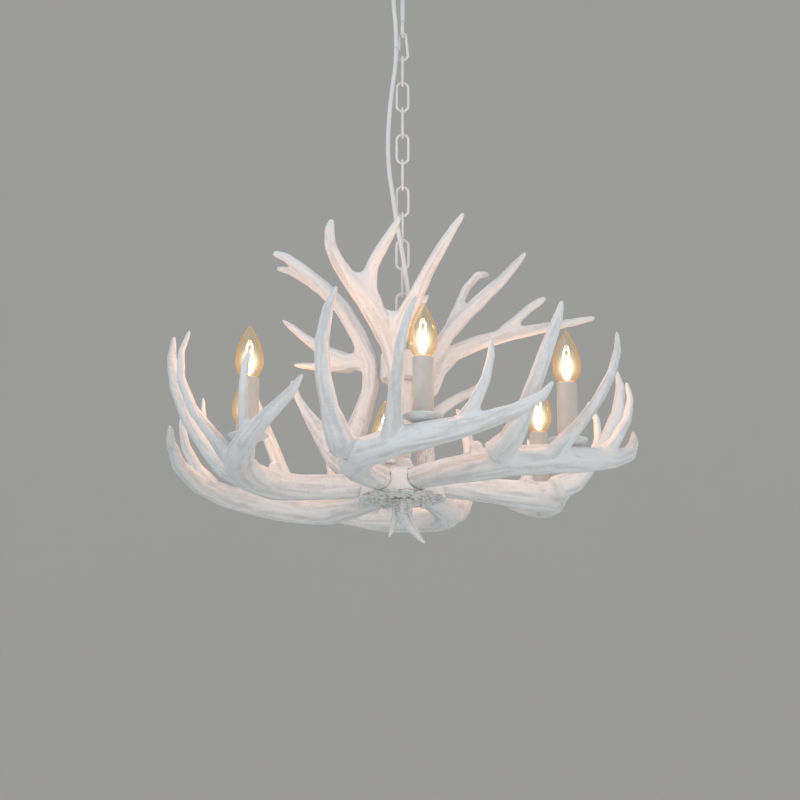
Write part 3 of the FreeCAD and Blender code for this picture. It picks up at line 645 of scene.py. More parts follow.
def drilled_holes(spot):
    """Plugs for the nipple's hole under a candle and for the screw's hole in the antler's foot."""
    screw = Matrix.Rotation(SCREW_LAG, 2) @ spot.xy.normalized() * SCREW_RING_R
    return ((spot.x, spot.y, NIPPLE_FOOT_Z - 0.0015, CUP_FOOT_Z - 0.0002, 0.0064),
            (screw.x, screw.y, SCREW_TOP_Z - 0.0150, SCREW_TOP_Z + 0.0020, 0.0034))


def lower_web(places):
    """A broad web at the first fork, a slight one between the close tines and none under a candle."""
    web = fading(distance_out(places), 0.215, 0.040, 0.0085, 0.0020)
    for spot in SPOTS:
        from_candle = distance_out(places[:, :2] - np.array(spot.xy))
        web = np.minimum(web, WEB_AT_CANDLE + WEB_RISE * from_candle)
    return web


def lower_flesh(places, normals):
    """The palm of the beam is a little fuller than the CAD's tube, but not where the cup sits on it."""
    out = distance_out(places)
    palm = np.clip((out - 0.110) / 0.050, 0, 1) * fading(out, 0.235, 0.030)
    low = fading(places[:, 2], -0.678, 0.016)
    return LOWER_FLESH * palm * low * fading(normals[:, 2], 0.1, 0.5)


def left_flesh(places, normals):
    """The burr at the foot of the left antler is thicker than its beam."""
    return fading(places[:, 2], -0.645, 0.050, LEFT_FLESH)


def left_web(places):
    """The two top tines run side by side, so the web is slight there."""
    return fading(places[:, 2], -0.475, 0.030, 0.0065, 0.0015)


print("web at the first fork", float(lower_web(np.array([[0.2, 0.0, -0.65]]))[0]))

# %% Grow the nine
for number in CANDLES:
    grow_skin("antler_below_%d" % number, "lower_antler_%d" % number, number, lower_bark,
              plugs=drilled_holes(SPOTS[number - 1]), web_of=lower_web, flesh_of=lower_flesh)
UPPER_SHAPES = (("front", even(0.0092), None), ("left", left_web, left_flesh), ("right", even(0.0016), None))
for number, (side, web_of, flesh_of) in enumerate(UPPER_SHAPES):
    grow_skin("antler_above_%s" % side, "upper_antler_%s" % side, 20 + number, upper_bark, web_of=web_of,
              flesh_of=flesh_of)

# %% [markdown]
# ## Hubs and finial
# The lower hub is cast too: a round slab with crisp edges, bark under it, saddles for the six antlers,
# and a trumpet neck that narrows to the column. The same skin does both hubs, on a finer net that is
# averaged far less, so the edges stay. The finial below is a small forked antler stub.

# %% Hubs and finial
HUB_FOOT_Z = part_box("lower_hub")[0].z


def hub_bark(places):
    """Deep bark under the slab, a light pitting up its side and none on the neck."""
    over_foot = places[:, 2] - HUB_FOOT_Z
    return np.maximum(fading(over_foot, 0.0012, 0.0030), fading(over_foot, 0.020, 0.008, 0.07))


def finial_bark(places):
    """The stub's sawn top keeps its bark, and its two points are rubbed smooth."""
    return np.clip((places[:, 2] + 0.760) / 0.03, 0, 1) * 0.7


# The hubs get less painted groove shade than the antlers.
grow_skin("hub_below", "lower_hub", 31, hub_bark, depth=0.0005, bark_depth=0.0018, voxel=0.0011, rounds=3,
          groove_shade_cut=0.6)
SLIGHT_BARK = even(0.06)
grow_skin("hub_above", "upper_hub", 32, SLIGHT_BARK, depth=0.0004, voxel=0.0011, rounds=4, groove_shade_cut=0.5)
grow_skin("finial_stub", "finial", 33, finial_bark, depth=0.0012, voxel=0.0009, rounds=14)
grow_skin("column_turned", "column", 34, SLIGHT_BARK, depth=0.0003, rounds=22)

# %% [markdown]
# ## White enamel, zinc, brass and plastics
# The chain, its quick link and the rose are dipped in white paint, which pools and leaves a slight
# ripple. The ceiling strap is bright zinc, the terminal block is milky plastic, and the candle sleeves
# are smooth ivory tubes that let a little light in.

# %% Small finishes
def paint_finish():
    finish = Finish("white_enamel", IOR=1.5, Coat_Roughness=0.18)
    ripple = finish.cloud(120, 2.0)
    speck = finish.cloud(700, 2.0)
    finish.set(Base_Color=finish.blend(ripple.step(0.35, 0.7) * 0.5, (0.78, 0.785, 0.79), (0.70, 0.70, 0.70)))
    finish.set(Roughness=0.34 + (speck - 0.5) * 0.12)
    finish.set(Coat_Weight=0.25 + ripple * 0.2)
    finish.bump(ripple * 0.7 + speck * 0.3, 0.0004, 0.3)
    return finish.material


def flex_finish():
    finish = Finish("flex_sheath", IOR=1.5, Sheen_Weight=0.05)
    handling = finish.cloud(60, 2.0)
    rub = finish.cloud(420, 2.0)
    handled = handling.step(0.4, 0.75) * 0.5
    finish.set(Base_Color=finish.blend(handled, (0.76, 0.765, 0.785), (0.70, 0.70, 0.71)))
    finish.set(Roughness=0.36 + (rub - 0.5) * 0.15)
    finish.bump(rub, 0.0002, 0.3)
    return finish.material


def sleeve_finish():
    finish = Finish("candle_sleeve", IOR=1.5, Subsurface_Weight=0.15,
                    Subsurface_Radius=(0.012, 0.007, 0.004))
    cloud = finish.cloud(90, 3.0)
    finish.set(Base_Color=finish.blend(cloud.step(0.35, 0.75) * 0.5, (0.61, 0.58, 0.53), (0.53, 0.49, 0.435)))
    finish.set(Roughness=0.38 + (finish.cloud(500, 2.0) - 0.5) * 0.12)
    finish.bump(cloud, 0.0005, 0.2)
    return finish.material


def zinc_finish():
    finish = Finish("bright_zinc", Metallic=1.0)
    spangle = finish.node("ShaderNodeTexVoronoi", {"Vector": finish.place(), "Scale": 220.0},
                          output="Distance")
    finish.set(Base_Color=finish.blend(spangle, (0.62, 0.63, 0.65), (0.48, 0.49, 0.51)))
    finish.set(Roughness=0.30 + spangle * 0.2)
    finish.bump(finish.cloud(600, 2.0), 0.0002, 0.3)
    return finish.material


def brass_finish():
    finish = Finish("lamp_cap_metal", Metallic=1.0)
    tarnish = finish.cloud(300, 3.0)
    finish.set(Base_Color=finish.blend(tarnish.step(0.4, 0.7), (0.78, 0.72, 0.60), (0.56, 0.49, 0.38)))
    finish.set(Roughness=0.25 + tarnish * 0.2)
    finish.bump(tarnish, 0.0001, 0.3)
    return finish.material


def holder_finish():
    finish = Finish("holder_plastic", IOR=1.5)
    cloud = finish.cloud(200, 2.0)
    finish.set(Base_Color=finish.blend(cloud, (0.72, 0.71, 0.69), (0.64, 0.63, 0.60)))
    finish.set(Roughness=0.42 + (cloud - 0.5) * 0.1)
    finish.bump(cloud, 0.0003, 0.2)
    return finish.material


PAINT = paint_finish()
FLEX_SHEATH = flex_finish()
SLEEVE = sleeve_finish()
ZINC = zinc_finish()
CAP_METAL = brass_finish()
HOLDER = holder_finish()
for flex in (upper_flex, lower_flex):
    flex.data.materials.append(FLEX_SHEATH)
    flex.data.shade_smooth()
print("finishes:", [m.name for m in (PAINT, FLEX_SHEATH, SLEEVE, ZINC, CAP_METAL, HOLDER)])

# %% [markdown]
# ## Bulb glass and glow
# A clear bulb is thin, so its glass hardly bends the light: what shows is the gloss on its edges, an
# amber light where it is seen edge-on, and the glare of the filament on its inner face. The amber light
# and the glare are painted glow: the glass itself emits them, mixed with transparent shaders and gloss,
# and the lamp inside lights the room through them.
# Layer Weight gives the angle of view without the total reflection that Fresnel finds inside a wall.
# The glass carries one number at each vertex, `glare`: how near that height is to the filament, which sets
# how strongly its painted glow shows.

# %% Glass and filament
def glass_finish():
    finish = Finish("bulb_glass")
    clear = finish.node("ShaderNodeBsdfTransparent", {"Color": (1.0, 0.985, 0.955, 1)})
    golden = finish.node("ShaderNodeBsdfTransparent", {"Color": (1.0, 0.84, 0.58, 1)})
    gloss = finish.node("ShaderNodeBsdfGlossy", {"Color": (1.0, 0.96, 0.88, 1), "Roughness": 0.05})
    # Painted glow: amber light emitted by the glass itself where it is seen edge-on.
    amber = finish.node("ShaderNodeEmission", {"Color": (1.0, 0.60, 0.27, 1), "Strength": 0.85})
    # Painted glow: the filament's glare, emitted by the glass itself.
    shine = finish.node("ShaderNodeEmission", {"Color": (1.0, 0.82, 0.52, 1), "Strength": 1.8})
    edge = finish.node("ShaderNodeLayerWeight", {"Blend": 0.5}, output="Facing")
    dust = finish.cloud(150, 3.0)
    near = finish.attribute("glare")
    body = finish.node("ShaderNodeMixShader", {0: (edge ** 2.2).clamp(), 1: clear, 2: golden})
    # How much amber painted glow shows: most at the edges and near the filament's height.
    rim = edge ** 1.4 * (0.26 + near * 0.55)
    warmed = finish.node("ShaderNodeMixShader", {0: rim.clamp(), 1: body, 2: amber})
    share = 0.05 + edge ** 5.0 * 0.40 + dust.step(0.45, 0.9) * 0.02
    glossy = finish.node("ShaderNodeMixShader", {0: share.clamp(), 1: warmed, 2: gloss})
    # How much painted glare shows: where the glass faces the eye, near the filament's height.
    glare = near * (1 - edge) ** 8.0
    lit = finish.node("ShaderNodeMixShader", {0: glare.clamp(), 1: glossy, 2: shine})
    finish.tree.links.new(lit.socket, finish.output.inputs["Surface"])
    return finish.material


def filament_finish():
    finish = Finish("filament_glow", Emission_Strength=18.0)
    heat = finish.cloud(400, 1.0)
    glow = finish.blend(heat, (1.0, 0.74, 0.40), (1.0, 0.84, 0.56))
    finish.set(Base_Color=glow, Emission_Color=glow)
    return finish.material


GLASS = glass_finish()
FILAMENT = filament_finish()
print("bulb finishes:", GLASS.name, FILAMENT.name)

# %% [markdown]
# ## Turned pieces
# Sleeves, cups, caps and bulbs are all turnings: one outline, spun round an upright axis. One function
# spins an outline of (radius, height) pairs and closes it. The outlines have their lips and feet rounded.

# %% Turned outline
ON_AXIS = 1e-6


def turned_ring(mesh, spot, radius, z, sides):
    """A level ring round a spot, or a single vertex where the outline meets the axis."""
    centre = Vector((spot.x, spot.y, z))
    if radius < ON_AXIS:
        return [mesh.verts.new(centre)]
    return ring_round(mesh, centre, Vector((1, 0, 0)), Vector((0, 1, 0)), radius, sides)


def band(mesh, low, high, sides):
    """Faces between two rings, either of which may be a single vertex."""
    for step in range(sides):
        after = (step + 1) % sides
        corners = [ring[place % len(ring)] for ring, place in
                   ((low, step), (low, after), (high, after), (high, step))]
        unique = list(dict.fromkeys(corners))
        if len(unique) > 2:
            mesh.faces.new(unique).smooth = True


def finished(name, mesh):
    """Turns the faces outwards and makes the object."""
    bmesh.ops.recalc_face_normals(mesh, faces=mesh.faces[:])
    data = bpy.data.meshes.new(name)
    mesh.to_mesh(data)
    mesh.free()
    return add_object(name, data)


def spun(name, outline, spots, sides=48):
    """Closed outlines of (radius, z) spun round an upright axis at each spot."""
    mesh = bmesh.new()
    for spot in spots:
        rings = [turned_ring(mesh, spot, radius, z, sides) for radius, z in outline]
        pairs = list(zip(rings, rings[1:]))
        if len(rings[0]) > 1:
            pairs.append((rings[-1], rings[0]))
        for low, high in pairs:
            band(mesh, low, high, sides)
    return finished(name, mesh)


def arc(centre_r, centre_z, radius, start, stop, steps):
    """Points of an outline on a quarter round or fillet; angles in degrees."""
    angles = [math.radians(start + (stop - start) * step / steps) for step in range(steps + 1)]
    return [(centre_r + radius * math.cos(a), centre_z + radius * math.sin(a)) for a in angles]


print("candle spots:", [(round(s.x, 3), round(s.y, 3)) for s in SPOTS])

# %% [markdown]
# ## Candle sleeves and drip cups
# The sleeve is a plain tube with a rolled lip. The cup is a shallow dish with a foot, seen from below.

# %% Sleeves, cups, holders and nipples
sleeve_low, sleeve_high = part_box("candle_sleeves")
cup_low, cup_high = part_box("drip_cups")
SLEEVE_R = 0.0125
SLEEVE_WALL = 0.0012
CUP_R = 0.0245
CUP_FOOT_R = 0.0095
CUP_BORE_R = 0.0052
CUP_LIP = 0.0008


def sleeve_outline():
    low, high = sleeve_low.z, sleeve_high.z
    lip = SLEEVE_WALL / 2
    top = arc(SLEEVE_R - lip, high - lip, lip, 0, 180, 6)
    foot = arc(SLEEVE_R - lip, low + lip, lip, 180, 360, 6)
    return top + foot


def cup_outline():
    foot, rim = cup_low.z, cup_high.z
    under = [(CUP_BORE_R, foot), (CUP_FOOT_R - 0.0006, foot), (CUP_FOOT_R, foot + 0.0005)]
    under += [(0.0125, foot + 0.0016), (0.0165, foot + 0.0030), (0.0205, foot + 0.0052)]
    lip = arc(CUP_R - CUP_LIP, rim - CUP_LIP, CUP_LIP, -60, 180, 8)
    inside = [(0.0190, rim - 0.0024), (0.0145, sleeve_low.z - 0.0002), (CUP_BORE_R, sleeve_low.z - 0.0004)]
    return under + lip + inside


sleeves = spun("candle_tubes", sleeve_outline(), SPOTS)
dress(sleeves, SLEEVE, "pendant", "sleeve", "candle_sleeves")
cups = spun("drip_trays", cup_outline(), SPOTS)
dress(cups, PAINT, "pendant", "white_paint", "drip_cups")
print("sleeves", len(sleeves.data.polygons), "cups", len(cups.data.polygons))

# %% [markdown]
# ## Bulbs
# A candle bulb swells just over its neck and draws out to a point. Its glass is blown thin, 0.7 mm here,
# so the outline goes up the outside and comes down the inside.

# %% Bulb glass
GLASS_WALL = 0.0007
BULB_OUTLINE = (
    (0.0086, 0.0),
    (0.0097, 0.0012),
    (0.0113, 0.0032),
    (0.0134, 0.0062),
    (0.0152, 0.0098),
    (0.0166, 0.0140),
    (0.0173, 0.0185),
    (0.0174, 0.0225),
    (0.0171, 0.0270),
    (0.0165, 0.0315),
    (0.0155, 0.0365),
    (0.0141, 0.0410),
    (0.0124, 0.0456),
    (0.0104, 0.0502),
    (0.0083, 0.0546),
    (0.0061, 0.0588),
    (0.0041, 0.0622),
    (0.0026, 0.0643),
    (0.0017, 0.0656),
)
BULB_TIP = 0.0664
TIP_WALL = 0.0016
GLARE_MIDDLE = 0.0185
GLARE_SPREAD = 0.0125
GLARE_MOST = 0.62


def bulb_wall(foot):
    """The outline of the glass: up the outside to the tip, and down the inside."""
    outer = [(radius, foot + z) for radius, z in BULB_OUTLINE] + [(0.0, foot + BULB_TIP)]
    inner = [(0.0, foot + BULB_TIP - TIP_WALL)]
    inner += [(max(radius - GLASS_WALL, 0.0004), foot + z) for radius, z in reversed(BULB_OUTLINE[1:])]
    return outer + inner + [(0.0050, foot + 0.0006)]


def store_glare(data, foot):
    """How strongly the glass's painted glow of the filament shows at each vertex's height."""
    away = (mesh_arrays(data)[0][:, 2] - foot - GLARE_MIDDLE) / GLARE_SPREAD
    store(data, "glare", GLARE_MOST * np.exp(-away * away))


print("bulb outline", len(bulb_wall(0.0)), "points")

# %% [markdown]
# ## Filament and screw cap
# A glass stem holds a long hairpin filament. The screw cap has a rolled thread, made here by moving a
# round wall in and out along a helix.

# %% Stem, filament and thread
BULB_FEET = [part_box("bulb_glass_%d" % number)[0].z for number in CANDLES]
FILAMENT_R = 0.00055
WIRE_SIDES = 8
STEM_SIDES = 20
CONTACT_HEIGHT = 0.003
STEM_OUTLINE = ((0.0, 0.0006), (0.0040, 0.0006), (0.0036, 0.0050), (0.0022, 0.0110), (0.0009, 0.0150),
                (0.0, 0.0154))


def filament_route(spot, foot):
    """A hairpin: up one side of the bulb, over and down the other."""
    rise = [(-0.0020, 0.0080), (-0.0026, 0.0180), (-0.0031, 0.0290), (-0.0033, 0.0390)]
    over = [(-0.0029, 0.0414), (-0.0016, 0.0428), (0.0, 0.0432), (0.0016, 0.0428), (0.0029, 0.0414)]
    fall = [(-x, z) for x, z in reversed(rise)]
    return [Vector((spot.x + x, spot.y, foot + z)) for x, z in rise + over + fall]


CAP_R = 0.0068
THREAD_PITCH = 0.00282
THREAD_DEPTH = 0.0008
THREAD_ROWS = 44
THREAD_SIDES = 40


def thread_mesh(name, spot, low, high):
    """A rolled screw shell: the wall swells and narrows along a helix."""
    mesh = bmesh.new()
    rings = []
    for row in range(THREAD_ROWS + 1):
        z = low + (high - low) * row / THREAD_ROWS
        ring = []
        for step in range(THREAD_SIDES):
            turn = 2 * math.pi * step / THREAD_SIDES
            wave = 0.5 - 0.5 * math.cos(2 * math.pi * (z - low) / THREAD_PITCH - turn)
            fade = min(1, (high - z) / 0.002, (z - low) / 0.001 + 0.2)
            r = CAP_R - THREAD_DEPTH * wave * fade
            ring.append(mesh.verts.new((spot.x + r * math.cos(turn), spot.y + r * math.sin(turn), z)))
        rings.append(ring)
    for below, above in zip(rings, rings[1:]):
        band(mesh, below, above, THREAD_SIDES)
    mesh.faces.new(rings[0][::-1])
    mesh.faces.new(rings[-1])
    return finished(name, mesh)


print("thread", THREAD_ROWS, "rows of", THREAD_SIDES)


# %% Six bulbs
def make_bulb(number):
    """Glass, stem and filament turn with the bulb's glass, and the cap lifts."""
    spot = SPOTS[number - 1]
    foot = BULB_FEET[number - 1]
    glass_body, cap_body = "bulb_glass_%d" % number, "bulb_cap_%d" % number
    glass = spun("bulb_envelope_%d" % number, bulb_wall(foot), [spot])
    store_glare(glass.data, foot)
    dress(glass, GLASS, glass_body, "clear_glass", glass_body)
    stem = spun("bulb_stem_%d" % number, [(r, foot + z) for r, z in STEM_OUTLINE], [spot], STEM_SIDES)
    dress(stem, GLASS, glass_body, "clear_glass")
    wire = tube_mesh("bulb_filament_wire_%d" % number, filament_route(spot, foot), FILAMENT_R, WIRE_SIDES)
    dress(wire, FILAMENT, glass_body, "filament", "bulb_filament_%d" % number)
    cap_low, cap_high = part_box(cap_body)
    cap = thread_mesh("bulb_screw_cap_%d" % number, spot, cap_low.z + CONTACT_HEIGHT, cap_high.z)
    dress(cap, CAP_METAL, cap_body, "cap_metal", cap_body)


for number in CANDLES:
    make_bulb(number)
print("bulbs made, feet at", [round(foot, 4) for foot in BULB_FEET])

# %% [markdown]
# ## Chain
# A welded link is one bent bar: two straight sides and two half circles. Geometry Nodes sweep a round
# section along that path once and set it at every link's place, turned by a quarter for every second one.

# %% Chain links with Geometry Nodes
WIRE_R = 0.0017
LINK_HALF = 0.0076
LINK_PITCH = 0.0362
LINK_COUNT = 10
LINK_HALF_LENGTH = (LINK_PITCH + WIRE_R * 2) / 2
BEND_STEPS = 12
WIRE_ROUND = 16
BEND_SHARE = 0.999  # a bend of the full half width would leave no side for the fillet to start from


def group_input(tree, name, kind, default):
    socket = tree.interface.new_socket(name, in_out="INPUT", socket_type=kind)
    socket.default_value = default


def chain_tree():
    """Sweeps one link, repeats it down the chain and turns every other link by the given angle."""
    tree = bpy.data.node_groups.new("welded_chain", "GeometryNodeTree")
    tree.interface.new_socket("Geometry", in_out="OUTPUT", socket_type="NodeSocketGeometry")
    group_input(tree, "First height", "NodeSocketFloat", 0.0)
    group_input(tree, "Step", "NodeSocketFloat", LINK_PITCH * 2)
    group_input(tree, "Links", "NodeSocketInt", LINK_COUNT // 2)
    group_input(tree, "Turn", "NodeSocketFloat", 0.0)
    group_input(tree, "Half width", "NodeSocketFloat", LINK_HALF)
    group_input(tree, "Half length", "NodeSocketFloat", LINK_HALF_LENGTH)
    group_input(tree, "Wire radius", "NodeSocketFloat", WIRE_R)
    tree.interface.new_socket("Material", in_out="INPUT", socket_type="NodeSocketMaterial")
    new, link = tree.nodes.new, tree.links.new
    source = new("NodeGroupInput").outputs
    path = new("GeometryNodeCurvePrimitiveQuadrilateral")
    path.mode = "RECTANGLE"

    def maths(operation, first, second):
        node = new("ShaderNodeMath")
        node.operation = operation
        for slot, value in zip(node.inputs, (first, second)):
            if isinstance(value, float):
                slot.default_value = value
            else:
                link(value, slot)
        return node.outputs[0]

    link(maths("MULTIPLY", source["Half width"], 2.0), path.inputs["Width"])
    link(maths("MULTIPLY", source["Half length"], 2.0), path.inputs["Height"])
    fillet = new("GeometryNodeFilletCurve")
    fillet.mode = "POLY"
    fillet.inputs["Count"].default_value = BEND_STEPS
    link(path.outputs[0], fillet.inputs["Curve"])
    link(maths("MULTIPLY", source["Half width"], BEND_SHARE), fillet.inputs["Radius"])
    section = new("GeometryNodeCurvePrimitiveCircle")
    section.inputs["Resolution"].default_value = WIRE_ROUND
    link(source["Wire radius"], section.inputs["Radius"])
    sweep = new("GeometryNodeCurveToMesh")
    link(fillet.outputs[0], sweep.inputs["Curve"])
    link(section.outputs[0], sweep.inputs["Profile Curve"])
    upright = new("GeometryNodeTransform")
    upright.inputs["Rotation"].default_value = (math.pi / 2, 0, 0)
    link(sweep.outputs[0], upright.inputs["Geometry"])
    places = new("GeometryNodeMeshLine")
    link(source["Links"], places.inputs["Count"])
    start = new("ShaderNodeCombineXYZ")
    link(source["First height"], start.inputs["Z"])
    link(start.outputs[0], places.inputs["Start Location"])
    down = new("ShaderNodeCombineXYZ")
    link(maths("MULTIPLY", source["Step"], -1.0), down.inputs["Z"])
    link(down.outputs[0], places.inputs["Offset"])
    spin = new("ShaderNodeCombineXYZ")
    link(source["Turn"], spin.inputs["Z"])
    repeat = new("GeometryNodeInstanceOnPoints")
    link(places.outputs[0], repeat.inputs["Points"])
    link(upright.outputs[0], repeat.inputs["Instance"])
    link(spin.outputs[0], repeat.inputs["Rotation"])
    real = new("GeometryNodeRealizeInstances")
    link(repeat.outputs[0], real.inputs[0])
    smooth = new("GeometryNodeSetShadeSmooth")
    link(real.outputs[0], smooth.inputs[0])
    dressed = new("GeometryNodeSetMaterial")
    link(smooth.outputs[0], dressed.inputs[0])
    link(source["Material"], dressed.inputs["Material"])
    link(dressed.outputs[0], new("NodeGroupOutput").inputs[0])
    return tree


CHAIN_TREE = chain_tree()
print("chain tree", len(CHAIN_TREE.nodes), "nodes")


# %% Two halves of the chain
def socket_id(tree, name):
    return next(s.identifier for s in tree.interface.items_tree if s.name == name and s.in_out == "INPUT")


def nodes_piece(name, tree, **values):
    """An object made by a node tree, baked to a plain mesh."""
    item = add_object(name, bpy.data.meshes.new(name))
    modifier = item.modifiers.new("made", "NODES")
    modifier.node_group = tree
    for label, value in values.items():
        modifier[socket_id(tree, label.replace("_", " "))] = value
    return plain_mesh(item)


def chain_half(name, node, turn):
    """Every second link of the chain, all turned the same way."""
    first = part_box(node)[1].z - LINK_HALF_LENGTH - WIRE_R
    links = nodes_piece(name, CHAIN_TREE, First_height=first, Turn=turn, Material=PAINT)
    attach(links, "pendant")
    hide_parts(node)


chain_half("chain_edge_on", "chain_links_side", math.pi / 2)
chain_half("chain_face_on", "chain_links_front", 0.0)

# %% [markdown]
# ## Hook, quick link and top loop
# These are bent bars too, each with its own path, so each is a tube along points worked out from its
# CAD box.

# %% Bent bars
BAR_SIDES = 18
CIRCLE_STEPS = 48


def closed_tube(name, points, radius):
    """A closed ring of round bar through the points."""
    mesh = bmesh.new()
    count = len(points)
    normal = (points[1] - points[0]).cross(points[count // 3] - points[0]).normalized()
    rings = []
    for index, centre in enumerate(points):
        along = (points[(index + 1) % count] - points[index - 1]).normalized()
        rings.append(ring_round(mesh, centre, along.cross(normal).normalized(), normal, radius, BAR_SIDES))
    for index in range(count):
        band(mesh, rings[index], rings[(index + 1) % count], BAR_SIDES)
    return finished(name, mesh)


def upright_circle(centre, radius):
    """Points of an upright circle that is seen edge-on from the front."""
    turns = [2 * math.pi * step / CIRCLE_STEPS for step in range(CIRCLE_STEPS)]
    return [centre + Vector((0, radius * math.cos(t), radius * math.sin(t))) for t in turns]


def joined(name, pieces):
    """Several meshes as one object."""
    mesh = bmesh.new()
    for piece in pieces:
        mesh.from_mesh(piece.data)
        bpy.data.objects.remove(piece)
    data = bpy.data.meshes.new(name)
    mesh.to_mesh(data)
    mesh.free()
    return add_object(name, data)


print("bars have", BAR_SIDES, "sides")

# %% Quick link
PEAR_R = 0.0019
PEAR_TOP_R = 0.0043
PEAR_LOW_R = 0.0069


def pear_points():
    low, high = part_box("pear_link")
    top_z = high.z - PEAR_R - PEAR_TOP_R
    low_z = low.z + PEAR_R + PEAR_LOW_R
    lean = math.degrees(math.asin((PEAR_LOW_R - PEAR_TOP_R) / (top_z - low_z)))
    over = arc(0, top_z, PEAR_TOP_R, 180 - lean, lean, 16)
    under = arc(0, low_z, PEAR_LOW_R, lean, -180 - lean, 24)
    return [Vector((x, 0, z)) for x, z in over + under]


pear = closed_tube("quick_link_bar", pear_points(), PEAR_R)
dress(pear, PAINT, "quick_link", "white_paint", "pear_link")
print("quick link", len(pear.data.polygons), "faces")

# %% Eye hook
EYE_R = 0.009
EYE_WIRE = 0.0023
eye_low, eye_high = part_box("eye_hook")
eye_centre = Vector((0, 0, eye_low.z + EYE_R + EYE_WIRE))
eye_ring = closed_tube("eye_ring", upright_circle(eye_centre, EYE_R), EYE_WIRE)
eye_top_z = eye_centre.z + EYE_R
SHANK_R = 0.0030
MAIN_AXIS = [Vector((0, 0, 0))]
shank = spun("shank", [(0.0, eye_top_z - 0.001), (0.0022, eye_top_z - 0.001), (SHANK_R, eye_top_z + 0.006),
                       (SHANK_R, eye_high.z), (0.0, eye_high.z)], MAIN_AXIS, 24)
hook = joined("ceiling_eye_bolt", [eye_ring, shank])
dress(hook, PAINT, "ceiling", "white_paint", "eye_hook")
print("hook", len(hook.data.polygons), "faces")

# %% Top loop
LOOP_R = 0.012
LOOP_WIRE = 0.002
loop_low, loop_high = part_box("top_loop")
loop_centre = Vector((0, 0, loop_high.z - LOOP_WIRE - LOOP_R))
loop_ring = closed_tube("loop_ring", upright_circle(loop_centre, LOOP_R), LOOP_WIRE)
COLLAR_OUTLINE = ((0.0, 0.0), (0.0086, 0.0), (0.0090, 0.0005), (0.0090, 0.0036), (0.0082, 0.0046),
                  (0.0062, 0.0066), (0.0054, 0.0100))
neck_z = loop_centre.z - LOOP_R
collar = spun("collar", [(r, loop_low.z + z) for r, z in COLLAR_OUTLINE]
              + [(0.0050, neck_z + 0.0012), (0.0, neck_z + 0.0014)], MAIN_AXIS, 32)
loop = joined("hanging_loop", [loop_ring, collar])
dress(loop, PAINT, "pendant", "white_paint", "top_loop")
print("loop", len(loop.data.polygons), "faces")

# %% [markdown]
# ## Pieces that keep their CAD shape
# Screws, the strap, the rose and its fittings have the right shape already and only need their finish.

# %% Finishes for CAD pieces
CAD_FINISHES = {
    "ceiling_strap": ZINC,
    "ceiling_rose": PAINT,
    "rose_nut": PAINT,
    "cable_bush": HOLDER,
    "terminal_block": HOLDER,
    "pear_nut": PAINT,
    "flex_bush": HOLDER,
    "centre_rod": ZINC,
    "candle_nipples": ZINC,
    "lampholders": HOLDER,
    "foot_screws": PAINT,
}


for node, material in CAD_FINISHES.items():
    NODES[node].data.materials.clear()
    NODES[node].data.materials.append(material)
print("dressed", len(CAD_FINISHES), "CAD nodes")

# %% [markdown]
# ## Room and lights
# A pale floor far below and a plain grey-beige wall behind. The light is two large soft discs and an even
# sky, low enough that white stays just short of white: a cool one from a window at the upper left, and a
# fainter one from the lower right that fills the shade. Six small warm lamps stand where the filaments
# are, since a hair of glowing wire alone would take the renderer very long to find.

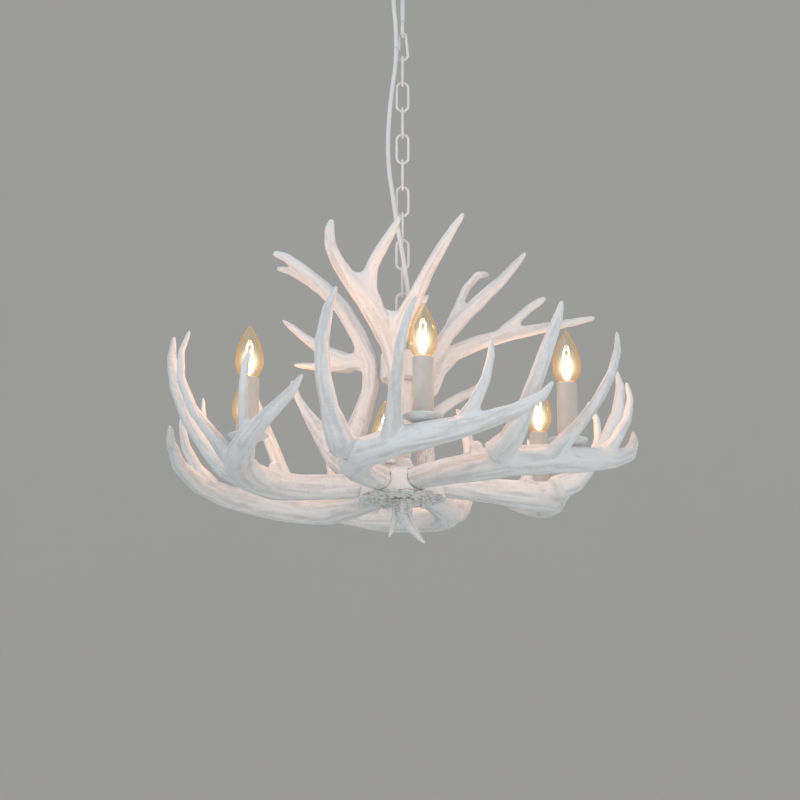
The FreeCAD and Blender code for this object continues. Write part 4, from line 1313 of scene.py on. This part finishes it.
# %% Floor, wall and lights
WALL = (0.54, 0.515, 0.485)
FLOOR = (0.80, 0.785, 0.76)
FLOOR_Z = -2.6
WALL_Y = 5.2
ROOM_HALF = 9
WALL_TOP = 5
SKY_COLOUR = (0.91, 0.955, 1.0, 1)
SKY_STRENGTH = 0.70
LIT_PLACE = Vector((0, 0, -0.65))
SOFT_LIGHTS = (  # name, place, diameter in metres, watts, colour
    ("window_light", (-1.7, -2.4, 0.35), 1.6, 17, (0.80, 0.91, 1.0)),
    ("fill_light", (1.6, -2.2, -1.7), 1.8, 13.5, (1.0, 0.98, 0.95)),
)
CANDLE_WATTS = 0.50
CANDLE_COLOUR = (1.0, 0.47, 0.21)
CANDLE_LAMP_R = 0.006
CANDLE_LAMP_RISE = 0.028


def panel(name, corners, colour):
    data = bpy.data.meshes.new(name)
    data.from_pydata(corners, [], [(0, 1, 2, 3)])
    item = add_object(name, data)
    finish = Finish(name, Roughness=0.95)
    soft = finish.cloud(0.8, 2.0)
    finish.set(Base_Color=finish.blend(soft, colour, tuple(v * 0.97 for v in colour)))
    data.materials.append(finish.material)


panel("floor", [(-ROOM_HALF, -ROOM_HALF, FLOOR_Z), (ROOM_HALF, -ROOM_HALF, FLOOR_Z),
                (ROOM_HALF, WALL_Y, FLOOR_Z), (-ROOM_HALF, WALL_Y, FLOOR_Z)], FLOOR)
panel("wall", [(-ROOM_HALF, WALL_Y, FLOOR_Z), (ROOM_HALF, WALL_Y, FLOOR_Z),
               (ROOM_HALF, WALL_Y, WALL_TOP), (-ROOM_HALF, WALL_Y, WALL_TOP)], WALL)


def soft_disc(name, place, size, watts, colour):
    data = bpy.data.lights.new(name, "AREA")
    data.shape = "DISK"
    data.size = size
    data.energy = watts
    data.color = colour
    item = add_object(name, data)
    item.location = place
    item.rotation_euler = (LIT_PLACE - Vector(place)).to_track_quat("-Z", "Y").to_euler()


for light in SOFT_LIGHTS:
    soft_disc(*light)
world = bpy.data.worlds.new("room")
world.use_nodes = True
sky = world.node_tree.nodes["Background"].inputs
sky["Color"].default_value = SKY_COLOUR
sky["Strength"].default_value = SKY_STRENGTH
bpy.context.scene.world = world
for number, spot, foot in zip(CANDLES, SPOTS, BULB_FEET):
    lamp = bpy.data.lights.new("candle_lamp_%d" % number, "POINT")
    lamp.energy = CANDLE_WATTS
    lamp.color = CANDLE_COLOUR
    lamp.shadow_soft_size = CANDLE_LAMP_R
    add_object(lamp.name, lamp).location = (spot.x, spot.y, foot + CANDLE_LAMP_RISE)
print("lights:", [light.name for light in bpy.data.lights])
